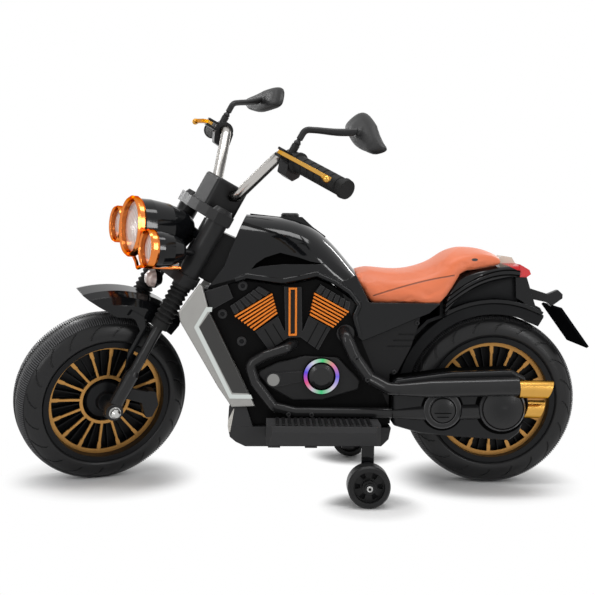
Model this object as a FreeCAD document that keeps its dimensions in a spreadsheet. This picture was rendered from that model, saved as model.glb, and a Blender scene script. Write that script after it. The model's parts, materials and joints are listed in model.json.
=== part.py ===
import FreeCAD, Part
import math
import os
import Sketcher

# Kids electric motorbike, in millimetres. X runs forward, Y to the rider's left and Z up, with the
# origin where the rear tyre meets the ground. The front end is drawn straight in the fork's own frame
# (forward of the axle, left, up along the steering axis) and then turned to its resting steering angle.

SIZES = {
    # Road wheels
    "wheel_radius": 160, "tyre_width": 84, "tyre_height": 44, "tyre_shoulder": "=tyre_height - 10",
    "bead_flare": 8, "bead_radius": "=wheel_radius - tyre_height", "barrel_inner": "=bead_radius - 12",
    "lip_radius": "=bead_radius + 2", "wheelbase": 733, "lip_thick": 3, "rim_half": "=tyre_width / 2 - 3",
    "hub_radius": 46, "hub_half": "=tyre_width / 2 - 6", "hub_nose": 17, "web_half": 6, "fin_count": 32,
    "fin_thick": 1.8, "fin_half": 18, "trim_outer": "=bead_radius - 8", "trim_band": 8, "trim_level": 20,
    "trim_thick": 3, "hub_ring_outer": 48, "hub_ring_band": 6, "spoke_count": 16, "spoke_wide": 7,
    "spoke_narrow": 4.5, "spoke_step": "=trim_outer - 22", "axle_radius": 6, "running_gap": 0.05,
    "fit_gap": 0.1,
    # Steering and fork, measured along the steering axis from the front axle
    "rake": 28.6, "steer_angle": 28.7, "fork_offset": 30.8, "fork_half": "=tyre_width / 2 + 27",
    "leg_radius": 13, "boss_reach": 13.5, "rod_radius": 9.5, "tube_radius": 19.5, "tube_bore": 10,
    "leg_top": 74, "gaiter_length": 86, "gaiter_ribs": 7, "gaiter_radius": 18, "gaiter_root": 14.5,
    "fender_gap": 10, "fender_skirt": "=wheel_radius + fender_gap", "yoke_low": 262,
    "fender_crown": "=yoke_low - 51", "yoke_high": "=yoke_low + 18", "tube_low": "=yoke_low - 4",
    "gaiter_low": "=tube_low - gaiter_length", "head_length": 100, "head_low": "=yoke_high + 4",
    "head_high": "=head_low + head_length", "crown_low": "=head_high + 4", "crown_high": "=crown_low + 20",
    "box_top": "=crown_high + 55", "box_half": 34, "stem_radius": 12, "head_radius": 22, "bush_radius": 16,
    "bush_length": 14, "bush_flange": 20,
    # Handlebar, in the fork's frame
    "bar_radius": 10, "bar_forward": -19, "bar_level": "=crown_high + 36", "bar_reach": 48, "bar_rise": 105,
    "elbow_reach": 122, "elbow_level": "=bar_level + bar_rise", "grip_end_forward": -63,
    "grip_end_reach": 290, "grip_end_level": "=elbow_level - 5",
    "bar_run": "=sqrt((grip_end_forward - bar_forward - 2) ^ 2 + (grip_end_reach - elbow_reach) ^ 2"
               " + (grip_end_level - elbow_level) ^ 2)",
    "bar_bend": 26, "grip_radius": 15.5, "grip_start": 48, "end_cap": 4, "end_gap": 0.34,
    "grip_length": "=bar_run + end_gap + end_cap - grip_start", "perch_start": 22, "perch_length": 24,
    "perch_radius": 17, "lever_pivot": 32, "lever_thick": 7, "lever_tip": 166, "lever_gap": 38,
    "pin_radius": 3, "button_radius": 6, "button_stroke": 2.5,
    # Mirrors
    "mirror_back": 100, "mirror_thick": 12, "mirror_post": 7, "mirror_stem": 4,
    # Lamps
    "lamp_forward": 102, "lamp_level": "=yoke_low + 49", "lamp_tilt": 22, "lamp_radius": 55,
    "side_lamp_radius": 34.5, "side_lamp_reach": 88, "side_lamp_forward": 92,
    "side_lamp_level": "=lamp_level - 15", "guard_radius": 3.5, "dome_radius": 18, "dome_forward": 24,
    "dome_level": "=yoke_low - 22",
    # Front and rear mudguards
    "fender_half": "=fork_half - leg_radius - 5", "fender_wall": 3, "fender_span": 54,
    "fender_middle": 76.4, "guard_gap": 23, "guard_rise": 12, "guard_skirt": "=wheel_radius + guard_gap",
    "guard_crown": "=guard_skirt + guard_rise", "guard_half": "=tyre_width / 2 + 8", "guard_span": 58,
    "guard_middle": 89,
    # Body levels
    "core_half": 58, "core_floor": 118, "core_top": 362, "core_wall": 6, "seat_level": 345, "cover_wall": 4,
    "engine_face": 84, "relief_face": 96, "jug_face": 93, "fin_face": 99, "panel_inner": 98,
    "panel_outer": 108, "arm_outer": 116, "arm_wall": 5, "belly_half": 98, "belly_floor": 82,
    "tank_wall": 3.5, "tank_split": 0.3, "neck_half": 38, "console_half": 22, "cap_radius": 17,
    # Footboards and stabilisers
    "board_front": 422, "board_rear": 223, "board_edge": 190, "board_top": 138, "board_floor": 104,
    "stabiliser_radius": 37, "stabiliser_place": 245, "stabiliser_inner": 174, "stabiliser_width": 36,
    "strut_thick": 6, "strut_width": 22, "bolt_radius": 5, "window_count": 6,
    # Power and pipes
    "pipe_radius": 9.5, "rear_pipe_radius": 11.5, "pipe_reach": 106, "muffler_radius": 17,
    "lower_can_radius": 15, "lower_can_reach": 110, "tip_radius": 16, "battery_length": 151,
    "battery_height": 94, "battery_width": 65, "dog_count": 6, "motor_radius": 19,
    "gearbox_radius": "=wheel_radius / 4", "boss_radius": 18, "ring_outer": 33, "ring_inner": 24,
    "hub_cover_radius": 42, "small_cover_radius": 34, "small_cover_place": 107, "small_cover_level": 156,
    "seat_gap": 0.3, "ring_place": 324, "ring_level": 212, "rail_radius": 5.5, "flange_radius": 16,
    "badge_radius": 13, "louvre_depth": 2,
}

doc = FreeCAD.newDocument("motorbike")
sheet = doc.addObject("Spreadsheet::Sheet", "sizes")
for row, (alias, value) in enumerate(SIZES.items(), 1):
    sheet.set(f"A{row}", alias)
    sheet.set(f"B{row}", str(value))
    sheet.setAlias(f"B{row}", alias)
doc.recompute()

V = FreeCAD.Vector
ALONG_Y = FreeCAD.Rotation(V(1, 0, 0), -90)
ALONG_X = FreeCAD.Rotation(V(0, 1, 0), 90)
UPRIGHT = FreeCAD.Rotation()
nodes = []


class Size:
    """A number from the sheet, or a sum made of some, with the text that binds it."""

    def __init__(self, value, text):
        self.value = value
        self.text = text

    def joined(self, other, sign, value):
        return Size(value, f"({self.text} {sign} {other.text})")

    def __add__(self, other):
        other = sized(other)
        return self.joined(other, "+", self.value + other.value)

    def __radd__(self, other):
        return sized(other) + self

    def __sub__(self, other):
        other = sized(other)
        return self.joined(other, "-", self.value - other.value)

    def __rsub__(self, other):
        return sized(other) - self

    def __mul__(self, other):
        other = sized(other)
        return self.joined(other, "*", self.value * other.value)

    def __rmul__(self, other):
        return sized(other) * self

    def __truediv__(self, other):
        other = sized(other)
        return self.joined(other, "/", self.value / other.value)

    def __neg__(self):
        return sized(0) - self


def sized(number):
    return number if isinstance(number, Size) else Size(float(number), f"{number}")


class Sizes:
    """The sheet's cells by name."""

    def __getattr__(self, alias):
        return Size(float(sheet.get(alias)), f"sizes.{alias}")


S = Sizes()


def bind(thing, prop, size):
    """Set a property and, where it comes from the sheet, tie it to its cells."""
    size = sized(size)
    if "sizes." in size.text:
        thing.setExpression(prop, size.text)
    elif prop in thing.PropertiesList:
        setattr(thing, prop, size.value)


def place(thing, at=(0, 0, 0), turn=UPRIGHT):
    at = [sized(value) for value in at]
    thing.Placement = FreeCAD.Placement(V(*[value.value for value in at]), turn)
    for axis, value in zip("xyz", at):
        bind(thing, f"Placement.Base.{axis}", value)
    return thing


def origin_part(body, role):
    return [item for item in body.Origin.OriginFeatures if item.Role == role][0]


def fix_point(sketch, geometry, vertex, point):
    """Hold one point of a sketch at its two distances from the origin."""
    for kind, axis, value in (("DistanceX", -2, sized(point[0])), ("DistanceY", -1, sized(point[1]))):
        if value.value == 0:
            sketch.addConstraint(Sketcher.Constraint("PointOnObject", geometry, vertex, axis))
            continue
        index = sketch.addConstraint(Sketcher.Constraint(kind, -1, 1, geometry, vertex, value.value))
        bind(sketch, f"Constraints[{index}]", value)


def sketch_on(body, role, level, corners, holes=()):
    """A closed outline of straight sides, with round holes, on a plane of the body at a level."""
    sketch = body.newObject("Sketcher::SketchObject", f"{body.Name}_outline")
    sketch.AttachmentSupport = [(origin_part(body, role), "")]
    sketch.MapMode = "FlatFace"
    lift = -sized(level) if role == "XZ_Plane" else sized(level)
    sketch.AttachmentOffset = FreeCAD.Placement(V(0, 0, lift.value), UPRIGHT)
    bind(sketch, "AttachmentOffset.Base.z", lift)
    points = [V(sized(across).value, sized(up).value, 0) for across, up in corners]
    count = len(points)
    for index, point in enumerate(points):
        sketch.addGeometry(Part.LineSegment(point, points[(index + 1) % count]), False)
    for index in range(count):
        sketch.addConstraint(Sketcher.Constraint("Coincident", index, 2, (index + 1) % count, 1))
        fix_point(sketch, index, 1, corners[index])
    for across, up, radius in holes:
        radius = sized(radius)
        centre = V(sized(across).value, sized(up).value, 0)
        circle = sketch.addGeometry(Part.Circle(centre, V(0, 0, 1), radius.value), False)
        fix_point(sketch, circle, 3, (across, up))
        index = sketch.addConstraint(Sketcher.Constraint("Radius", circle, radius.value))
        bind(sketch, f"Constraints[{index}]", radius)
    return sketch


def pad(body, role, corners, low, high, holes=()):
    """Raise an outline between two levels of the plane's own axis."""
    start = high if role == "XZ_Plane" else low
    feature = body.newObject("PartDesign::Pad", f"{body.Name}_pad")
    feature.Profile = (sketch_on(body, role, start, corners, holes), [""])
    bind(feature, "Length", sized(high) - low)
    body.Tip = feature
    return feature


def slab(name, role, corners, low, high, holes=()):
    body = doc.addObject("PartDesign::Body", name)
    pad(body, role, corners, low, high, holes)
    return body


def side_slab(name, corners, low, high, holes=()):
    """A piece with a side-view outline, between two distances left of the middle."""
    return slab(name, "XZ_Plane", corners, low, high, holes)


# The body is drawn for one wheel radius and wheelbase. Beside a wheel it grows with the wheel, between
# the wheels with their gap, and it rides at the axles' level.
DRAWN_RADIUS = 160
DRAWN_BASE = 733


def over(measure):
    """Lengthwise place of a drawn measure."""
    measure = sized(measure)
    growth = S.wheel_radius / DRAWN_RADIUS
    if measure.value <= DRAWN_RADIUS:
        return measure * growth
    if measure.value >= DRAWN_BASE - DRAWN_RADIUS:
        return S.wheelbase - (DRAWN_BASE - measure) * growth
    stretch = (S.wheelbase - 2 * S.wheel_radius) / (DRAWN_BASE - 2 * DRAWN_RADIUS)
    return S.wheel_radius + (measure - DRAWN_RADIUS) * stretch


def up(level):
    """Height of a drawn level."""
    return level + (S.wheel_radius - DRAWN_RADIUS)


def spot(measure, across, level):
    return over(measure), across, up(level)


def body_slab(name, corners, low, high):
    """A side slab whose corners are drawn measures of the body."""
    return side_slab(name, [(over(measure), up(level)) for measure, level in corners], low, high)


def turned(name, corners, sweep=360):
    """A piece turned about its own Z axis from (radius, height) corners."""
    body = doc.addObject("PartDesign::Body", name)
    feature = body.newObject("PartDesign::Revolution", f"{name}_turn")
    sketch = sketch_on(body, "XZ_Plane", 0, corners)
    feature.Profile = (sketch, [""])
    feature.ReferenceAxis = (sketch, ["V_Axis"])
    bind(feature, "Angle", sweep)
    body.Tip = feature
    return body


def soften(body, radius, pick):
    """Round the edges that a test picks from the body as it stands."""
    doc.recompute()
    base = body.Tip
    names = [f"Edge{index}" for index, edge in enumerate(base.Shape.Edges, 1) if pick(edge)]
    feature = body.newObject("PartDesign::Fillet", f"{body.Name}_rounding")
    feature.Base = (base, names)
    bind(feature, "Radius", radius)
    body.Tip = feature
    return body


def along(axis):
    def pick(edge):
        first, last = edge.Vertexes[0].Point, edge.Vertexes[-1].Point
        run = last - first
        return edge.Curve.TypeId == "Part::GeomLine" and abs(abs(run[axis]) - run.Length) < 1e-4
    return pick


def at_level(axis, level):
    value = sized(level).value
    return lambda edge: all(abs(vertex.Point[axis] - value) < 1e-4 for vertex in edge.Vertexes)


def of_radius(radius):
    value = sized(radius).value
    return lambda edge: edge.Curve.TypeId == "Part::GeomCircle" and abs(edge.Curve.Radius - value) < 1e-4


def hollow(body, wall, pick):
    """Shell a body to a wall thickness, open at the faces that a test picks."""
    doc.recompute()
    base = body.Tip
    names = [f"Face{index}" for index, face in enumerate(base.Shape.Faces, 1) if pick(face)]
    feature = body.newObject("PartDesign::Thickness", f"{body.Name}_shell")
    feature.Base = (base, names)
    feature.Reversed = True
    feature.Join = 1
    bind(feature, "Value", wall)
    body.Tip = feature
    return body


def round_pattern(body, feature, count):
    pattern = body.newObject("PartDesign::PolarPattern", f"{body.Name}_pattern")
    pattern.Originals = [feature]
    pattern.Axis = (origin_part(body, "Z_Axis"), [""])
    bind(pattern, "Occurrences", count)
    body.Tip = pattern
    return body


def rod(name, radius, height, at=(0, 0, 0), turn=UPRIGHT):
    cylinder = doc.addObject("Part::Cylinder", name)
    bind(cylinder, "Radius", radius)
    bind(cylinder, "Height", height)
    return place(cylinder, at, turn)


def cut(name, base, *tools):
    feature = doc.addObject("Part::Cut", name)
    feature.Base = base
    feature.Tool = tools[0] if len(tools) == 1 else fuse(f"{name}_tools", *tools)
    return feature


def fuse(name, *parts):
    feature = doc.addObject("Part::MultiFuse", name)
    feature.Shapes = list(parts)
    return feature


def mirrored(part):
    twin = doc.addObject("Part::Mirroring", f"{part.Name}_twin")
    twin.Source = part
    twin.Normal = V(0, 1, 0)
    return twin


def shaped(name, shape):
    feature = doc.addObject("Part::Feature", name)
    feature.Shape = shape
    return feature


def node(label, *parts, frame=None):
    """Name a sub-part made of one or more solids, and put it in its place."""
    group = doc.addObject("Part::Compound", label)
    group.Label = label
    group.Links = list(parts)
    if frame:
        group.Placement = frame
    nodes.append(group)


def pair(label, part, frame=None):
    node(label, part, mirrored(part), frame=frame)


def sides(label, part, frame=None):
    node(f"{label}_left", part, frame=frame)
    node(f"{label}_right", mirrored(part), frame=frame)


def numbers(point):
    return V(*[sized(value).value for value in point])


def bent_tube(name, points, radius, bend):
    """A round tube along straight runs joined by tangent arcs."""
    points = [numbers(point) for point in points]
    radius = sized(radius).value
    bend = sized(bend).value
    edges = []
    start = points[0]
    for before, corner, after in zip(points, points[1:], points[2:]):
        back = (before - corner).normalize()
        ahead = (after - corner).normalize()
        half = back.getAngle(ahead) / 2
        reach = bend / math.tan(half)
        first, last = corner + back * reach, corner + ahead * reach
        inward = (back + ahead).normalize()
        middle = corner + inward * (bend / math.sin(half) - bend)
        edges.append(Part.LineSegment(start, first).toShape())
        edges.append(Part.Arc(first, middle, last).toShape())
        start = last
    edges.append(Part.LineSegment(start, points[-1]).toShape())
    circle = Part.Wire([Part.makeCircle(radius, points[0], points[1] - points[0])])
    return shaped(name, Part.Wire(edges).makePipeShell([circle], True, False))


def arc(first, middle, last):
    return Part.Arc(first, middle, last).toShape()


def line(first, last):
    return Part.LineSegment(first, last).toShape()


# The fork's frame stands at the front axle, tilted by the rake, first straight and then steered
STRAIGHT = FreeCAD.Placement(V(S.wheelbase.value, 0, S.wheel_radius.value),
                             FreeCAD.Rotation(V(0, 1, 0), -S.rake.value))
STEERED = FreeCAD.Placement(V(), FreeCAD.Rotation(V(0, 0, 1), S.steer_angle.value),
                            V(-S.fork_offset.value, 0, 0))
FRONT = STRAIGHT.multiply(STEERED)
REAR_AXLE = FreeCAD.Placement(V(0, 0, S.wheel_radius.value), UPRIGHT)


# Road wheels, turned about their own Z axis, which then lies along the axle

def both_sides(corners):
    """Close a profile given on the positive side with its own reflection."""
    return corners + [(radius, -sized(height)) for radius, height in reversed(corners)]


def tyre():
    half = S.tyre_width / 2
    bead = S.bead_radius + S.fit_gap
    corners = both_sides([(bead, half - 10), (S.bead_radius + S.bead_flare, half), (S.wheel_radius, half)])
    form = soften(turned("tyre_form", corners), S.tyre_shoulder, of_radius(S.wheel_radius))
    return place(form, turn=ALONG_Y)


def rim():
    seat = S.trim_outer + S.fit_gap
    bore = S.axle_radius + S.running_gap
    corners = both_sides([
        (bore, S.hub_half), (S.hub_nose, S.hub_half), (S.hub_nose + 3, S.hub_half - 8), (34, 22), (40, 12),
        (S.hub_radius, S.web_half), (S.barrel_inner, S.web_half), (S.barrel_inner, S.trim_level),
        (seat, S.trim_level), (seat, S.rim_half), (S.lip_radius, S.rim_half),
        (S.lip_radius, S.rim_half - S.lip_thick), (S.bead_radius, S.rim_half - S.lip_thick)])
    body = turned("rim_form", corners)
    half = S.fin_thick / 2
    fin = pad(body, "XY_Plane", [(S.hub_radius - 1, -half), (S.barrel_inner + 1, -half),
                                 (S.barrel_inner + 1, half), (S.hub_radius - 1, half)],
              -S.fin_half, S.fin_half)
    return place(round_pattern(body, fin, S.fin_count), turn=ALONG_Y)


def spoke_trim():
    """Gold spider: two rings joined by stepped spokes, seated on the rim's shoulder."""
    low, high = S.trim_level, S.trim_level + S.trim_thick
    ring_inner = S.trim_outer - S.trim_band
    body = turned("trim_form", [(ring_inner, low), (S.trim_outer, low), (S.trim_outer, high),
                                (ring_inner, high)])
    wide, narrow = S.spoke_wide / 2, S.spoke_narrow / 2
    inner = S.hub_ring_outer - S.hub_ring_band / 2
    outer = ring_inner + S.trim_band / 2
    spoke = pad(body, "XY_Plane", [(inner, -narrow), (S.spoke_step, -narrow), (S.spoke_step, -wide),
                                   (outer, -wide), (outer, wide), (S.spoke_step + 5, wide),
                                   (S.spoke_step, narrow), (inner, narrow)], low, high)
    round_pattern(body, spoke, S.spoke_count)
    place(body, turn=ALONG_Y)
    hub_ring = turned("hub_ring_form", [(S.hub_ring_outer - S.hub_ring_band, low), (S.hub_ring_outer, low),
                                        (S.hub_ring_outer, high), (S.hub_ring_outer - S.hub_ring_band, high)])
    return fuse("trim_whole", body, place(hub_ring, turn=ALONG_Y))


def road_wheels():
    tyre_form, rim_form, trim_form = tyre(), rim(), spoke_trim()
    trim_twin = mirrored(trim_form)
    for prefix, frame in (("front", FRONT), ("rear", REAR_AXLE)):
        node(f"{prefix}_tyre", tyre_form, frame=frame)
        node(f"{prefix}_rim", rim_form, frame=frame)
        node(f"{prefix}_trim", trim_form, trim_twin, frame=frame)


def axle_form(name, shoulder, end):
    """A through bolt with a washer and a domed nut at each end."""
    washer, nut = S.axle_radius + 5, S.axle_radius + 3
    corners = both_sides([(S.axle_radius, shoulder), (washer, shoulder), (washer, sized(shoulder) + 2),
                          (nut, sized(shoulder) + 2), (nut, sized(end) - 4), (nut - 4, end), (0, end)])
    return place(turned(name, corners), turn=ALONG_Y)


# Fork and steering, in the fork's frame

def fork():
    bottom = -16
    top = S.tube_low + 42
    leg = turned("leg_form", [(0, bottom), (10, bottom), (S.leg_radius, bottom + 5),
                              (S.leg_radius, S.leg_top), (S.rod_radius, S.leg_top + 8),
                              (S.rod_radius, top), (0, top)])
    place(leg, (0, S.fork_half, 0))
    boss = rod("leg_boss", S.leg_radius + 3, S.boss_reach * 2, (0, S.fork_half - S.boss_reach, 0), ALONG_Y)
    bore = rod("leg_bore", S.axle_radius + S.fit_gap, S.leg_radius * 4,
               (0, S.fork_half - S.leg_radius * 2, 0), ALONG_Y)
    pair("fork_sliders", cut("slider_form", fuse("slider_whole", leg, boss), bore), FRONT)
    pair("fork_gaiters", gaiter(), FRONT)
    tube = turned("tube_form", [(S.tube_bore, S.tube_low), (S.tube_radius - 2, S.tube_low),
                                (S.tube_radius, S.tube_low + 5), (S.tube_radius, S.crown_high),
                                (S.tube_radius - 4, S.crown_high + 8), (0, S.crown_high + 8),
                                (0, S.tube_low + 46), (S.tube_bore, S.tube_low + 46)])
    pair("fork_tubes", place(tube, (0, S.fork_half, 0)), FRONT)
    shoulder = S.fork_half + S.boss_reach
    node("front_axle", axle_form("front_axle_form", shoulder, shoulder + 13), frame=FRONT)


def gaiter():
    """Ribbed sleeve between the slider and the tube."""
    collar = 14
    count = int(S.gaiter_ribs.value)
    foot = S.gaiter_low + collar
    pitch = (S.tube_low - foot - 6) / count
    profile = [(S.tube_bore, S.gaiter_low), (S.gaiter_radius - 2, S.gaiter_low), (S.gaiter_radius - 2, foot)]
    for rib in range(count):
        low = foot + pitch * rib
        profile += [(S.gaiter_root, low + pitch * 0.1), (S.gaiter_radius, low + pitch * 0.45),
                    (S.gaiter_radius, low + pitch * 0.65)]
    profile += [(S.gaiter_root, S.tube_low - 6), (S.gaiter_radius, S.tube_low - 5),
                (S.gaiter_radius, S.tube_low), (S.tube_bore, S.tube_low)]
    return place(turned("gaiter_form", profile), (0, S.fork_half, 0))


def yoke_outline():
    clamp = S.fork_half + S.tube_radius + 2
    waist = S.fork_half - 9
    right = [(24, waist), (18, clamp), (-14, clamp), (-24, waist), (-50, 24)]
    left = [(forward, -sized(reach)) for forward, reach in reversed(right)]
    return [(28, 20)] + right + left + [(28, -20)]


def steering():
    tube_hole = S.tube_radius + S.fit_gap
    holes = [(0, S.fork_half, tube_hole), (0, -S.fork_half, tube_hole)]
    yoke = slab("lower_yoke_form", "XY_Plane", yoke_outline(), S.yoke_low, S.yoke_high, holes)
    stem = rod("stem_form", S.stem_radius, S.crown_high - 4 - S.yoke_low, (-S.fork_offset, 0, S.yoke_low))
    node("steering_stem", fuse("stem_whole", yoke, stem), frame=FRONT)
    stem_hole = (-S.fork_offset, 0, S.stem_radius + S.fit_gap)
    crown = slab("crown_form", "XY_Plane", yoke_outline(), S.crown_low, S.crown_high, holes + [stem_hole])
    box = slab("box_form", "XY_Plane", [(21, -S.box_half), (21, S.box_half), (-46, S.box_half),
                                        (-46, -S.box_half)], S.crown_high, S.box_top)
    soften(box, 8, along(2))
    soften(box, 6, at_level(2, S.box_top))
    bar_hole = rod("bar_hole", S.bar_radius + S.fit_gap, S.box_half * 4,
                   (S.bar_forward, S.box_half * -2, S.bar_level), ALONG_Y)
    node("handlebar_box", cut("box_whole", fuse("box_and_crown", crown, box), bar_hole), frame=FRONT)


# Handlebar and its fittings. The left grip's frame has Z outward along the bar and X forward.

def bar_points():
    return [(S.bar_forward, 0, S.bar_level), (S.bar_forward, S.bar_reach, S.bar_level),
            (S.bar_forward + 2, S.elbow_reach, S.elbow_level),
            (S.grip_end_forward, S.grip_end_reach, S.grip_end_level)]


def grip_frame():
    points = [numbers(point) for point in bar_points()]
    outward = (points[3] - points[2]).normalize()
    return FreeCAD.Placement(points[2], FreeCAD.Rotation(V(1, 0, 0), V(), outward, "ZXY"))


def grip_form():
    bore = S.bar_radius + S.running_gap
    start, end = S.grip_start, S.grip_start + S.grip_length
    flange = S.grip_radius + 4
    profile = [(bore, start), (flange, start), (flange, start + 4), (S.grip_radius, start + 6)]
    groove_count = 6
    pitch = (S.grip_length - 24) / groove_count
    for groove in range(groove_count):
        low = start + 10 + pitch * groove
        profile += [(S.grip_radius, low + pitch * 0.75), (S.grip_radius - 1.5, low + pitch * 0.8),
                    (S.grip_radius - 1.5, low + pitch * 0.95), (S.grip_radius, low + pitch)]
    profile += [(S.grip_radius, end - 10), (S.grip_radius + 2, end - 8), (S.grip_radius + 1, end), (0, end),
                (0, end - S.end_cap), (bore, end - S.end_cap)]
    return turned("grip_form", profile)


def seated(part, frame):
    """The part moved into a frame, without turning its own drawing."""
    group = doc.addObject("Part::Compound", f"{part.Name}_seated")
    group.Links = [part]
    group.Placement = frame
    return group


def handlebar():
    grip = grip_frame()
    left = bar_points()[1:]
    right = [(forward, -sized(reach), level) for forward, reach, level in reversed(left)]
    node("handlebar", bent_tube("bar_form", right + left, S.bar_radius, S.bar_bend), frame=FRONT)
    rubber = seated(grip_form(), grip)
    sides("grip", rubber, FRONT)
    perch = perch_form()
    plain = seated(perch, grip)
    deep = rod("horn_hole", S.button_radius + S.running_gap, 22, (-32, 16, S.perch_start + 12), ALONG_X)
    node("lever_perches", seated(cut("horn_perch", perch, deep), grip), mirrored(plain), frame=FRONT)
    button = rod("button_form", S.button_radius, 15 - S.button_stroke, (-25, 16, S.perch_start + 12), ALONG_X)
    node("horn_button", seated(button, grip), frame=FRONT)
    sides("brake_lever", seated(lever_form(), grip), FRONT)
    mirrors(grip)


def perch_form():
    """Clamp round the bar with a switch pod below, a forked lever bracket and a mirror post."""
    low, high = S.perch_start, S.perch_start + S.perch_length
    ring = rod("perch_ring", S.perch_radius, S.perch_length, (0, 0, low))
    pod_corners = [(-18, -4), (14, -4), (16, 12), (8, 30), (-12, 32), (-22, 20)]
    pod = soften(slab("perch_pod", "XY_Plane", pod_corners, low, high), 4, along(2))
    arm = S.lever_pivot + 6
    bracket = side_slab("perch_bracket", [(8, low + 2), (arm, low + 4), (arm, low + 20), (8, low + 22)],
                        -8, 8)
    slot_half = S.lever_thick / 2 + 0.3
    slot = side_slab("perch_slot", [(19, low - 5), (arm + 5, low - 5), (arm + 5, high + 5), (19, high + 5)],
                     -slot_half, slot_half)
    pin = rod("perch_pin", S.pin_radius, 16, (S.lever_pivot, -8, low + 12), ALONG_Y)
    post = rod("perch_post", S.mirror_post, 20, (10, -26, low + 10), ALONG_Y)
    socket = rod("perch_socket", S.mirror_stem + S.running_gap, 14, (10, -26, low + 10), ALONG_Y)
    bore = rod("perch_bore", S.bar_radius + S.fit_gap, S.perch_length + 10, (0, 0, low - 5))
    fork_bracket = cut("perch_fork", bracket, slot)
    return cut("perch_form", fuse("perch_whole", ring, pod, fork_bracket, pin, post), bore, socket)


def lever_form():
    pivot, foot = S.lever_pivot, S.perch_start + 12
    near, far = S.lever_gap - 3, S.lever_gap + 4
    corners = [(pivot - 5, foot - 5), (pivot + 4, foot - 6), (pivot + 8, foot + 10), (far, foot + 40),
               (far, S.lever_tip - 8), (far + 2, S.lever_tip), (S.lever_gap, S.lever_tip + 5),
               (near - 2, S.lever_tip), (near, S.lever_tip - 8), (near, foot + 44), (pivot - 3, foot + 14)]
    half = S.lever_thick / 2
    lever = side_slab("lever_form", corners, -half, half, [(pivot, foot, S.pin_radius + S.running_gap)])
    return soften(lever, 1, lambda edge: at_level(1, half)(edge) and len(edge.Vertexes) == 2)


def mirror_outline(forward, share):
    """The drop shape of a mirror, drawn in towards its middle."""
    base = S.elbow_level.value
    middle = V(forward, 205, base + 97)
    corners = [(133, 106), (150, 121), (198, 119), (250, 104), (286, 84), (276, 73), (240, 72), (200, 76),
               (156, 87)]
    points = [middle + (V(forward, reach, base + rise) - middle) * share for reach, rise in corners]
    curve = Part.BSplineCurve()
    curve.interpolate(points, PeriodicFlag=True)
    return Part.Wire([curve.toShape()])


def mirrors(grip):
    """Bent stem on the perch's post, and a drop-shaped head with its glass facing back."""
    foot = grip.multVec(V(10, -26, S.perch_start.value + 10))
    out = grip.Rotation.multVec(V(0, -1, 0))
    head_face = S.mirror_thick - S.mirror_back
    top = foot + out * 30
    stem = bent_tube("mirror_stem_form", [foot - out * 12, top, (head_face - 2, 200, S.elbow_level + 96)],
                     S.mirror_stem, 12)
    seat = foot + out * S.running_gap.value
    collar = shaped("mirror_collar", Part.makeCylinder(S.mirror_post.value, 6, seat, out))
    back = -S.mirror_back.value
    rounds = [mirror_outline(back, 1), mirror_outline(back + 5, 0.97), mirror_outline(back + 10, 0.8),
              mirror_outline(head_face.value, 0.55)]
    head = shaped("mirror_head_form", Part.makeLoft(rounds, True, False))
    rim = mirror_outline(back, 0.92)
    glass = shaped("mirror_glass_form", Part.Face(rim).extrude(V(-1.5, 0, 0)))
    whole = fuse("mirror_whole", stem, collar, head)
    node("mirror_left", whole, glass, frame=FRONT)
    node("mirror_right", mirrored(whole), mirrored(glass), frame=FRONT)


# Lamps, in the fork's frame

def lamp_forms(name, radius, depth, at):
    """A bowl, its bright bezel and a domed lens, facing along the lamp's axis."""
    turn = FreeCAD.Rotation(V(0, 1, 0), 90 + S.lamp_tilt.value)
    shell = turned(f"{name}_shell", [
        (0, -depth), (radius * 0.4, -depth), (radius * 0.62, depth * -0.88), (radius * 0.84, depth * -0.55),
        (radius * 0.93, depth * -0.2), (radius * 0.93, 0), (radius * 0.8, 0), (radius * 0.76, depth * -0.15),
        (radius * 0.4, depth * -0.4), (0, depth * -0.45)])
    bezel = turned(f"{name}_bezel", [(radius * 0.84, 0), (radius * 0.95, 0), (radius, 4), (radius, 12),
                                     (radius * 0.94, 16), (radius * 0.86, 13)])
    lens = turned(f"{name}_lens", [(radius * 0.76, 0), (radius * 0.835, 0), (radius * 0.835, 5),
                                   (radius * 0.5, 9), (0, 11), (0, 8), (radius * 0.5, 6)])
    return [place(form, at, turn) for form in (shell, bezel, lens)]


def lamps():
    centre = (S.lamp_forward, 0, S.lamp_level)
    bowl, bezel, lens = lamp_forms("main_lamp", S.lamp_radius, 104, centre)
    bar_half = S.fork_half - S.tube_radius - S.fit_gap
    bar = rod("lamp_bar", 9, bar_half * 2, (2, -bar_half, S.lamp_level + 40), ALONG_Y)
    side_at = (S.side_lamp_forward, S.side_lamp_reach, S.side_lamp_level)
    side_bowl, side_bezel, side_lens = lamp_forms("side_lamp", S.side_lamp_radius, 56, side_at)
    start = numbers((S.side_lamp_forward - 46, S.side_lamp_reach - 2, S.side_lamp_level + 18))
    end = numbers((S.tube_radius - 10, S.fork_half + 4, S.side_lamp_level + 26))
    stub = shaped("lamp_stub", Part.makeCylinder(6, (end - start).Length, start, end - start))
    tube = rod("stub_trim", S.tube_radius + S.fit_gap, 100, (0, S.fork_half, S.side_lamp_level - 40))
    side_whole = cut("side_lamp_whole", fuse("side_lamp_and_stub", side_bowl, stub), tube)
    cup, dome = dome_lamp()
    main_whole = fuse("main_lamp_whole", bowl, bar)
    node("lamp_shells", main_whole, side_whole, mirrored(side_whole), cup, frame=FRONT)
    node("lamp_bezels", bezel, side_bezel, mirrored(side_bezel), guard_bar(), frame=FRONT)
    node("lamp_lenses", lens, side_lens, mirrored(side_lens), dome, frame=FRONT)


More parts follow.
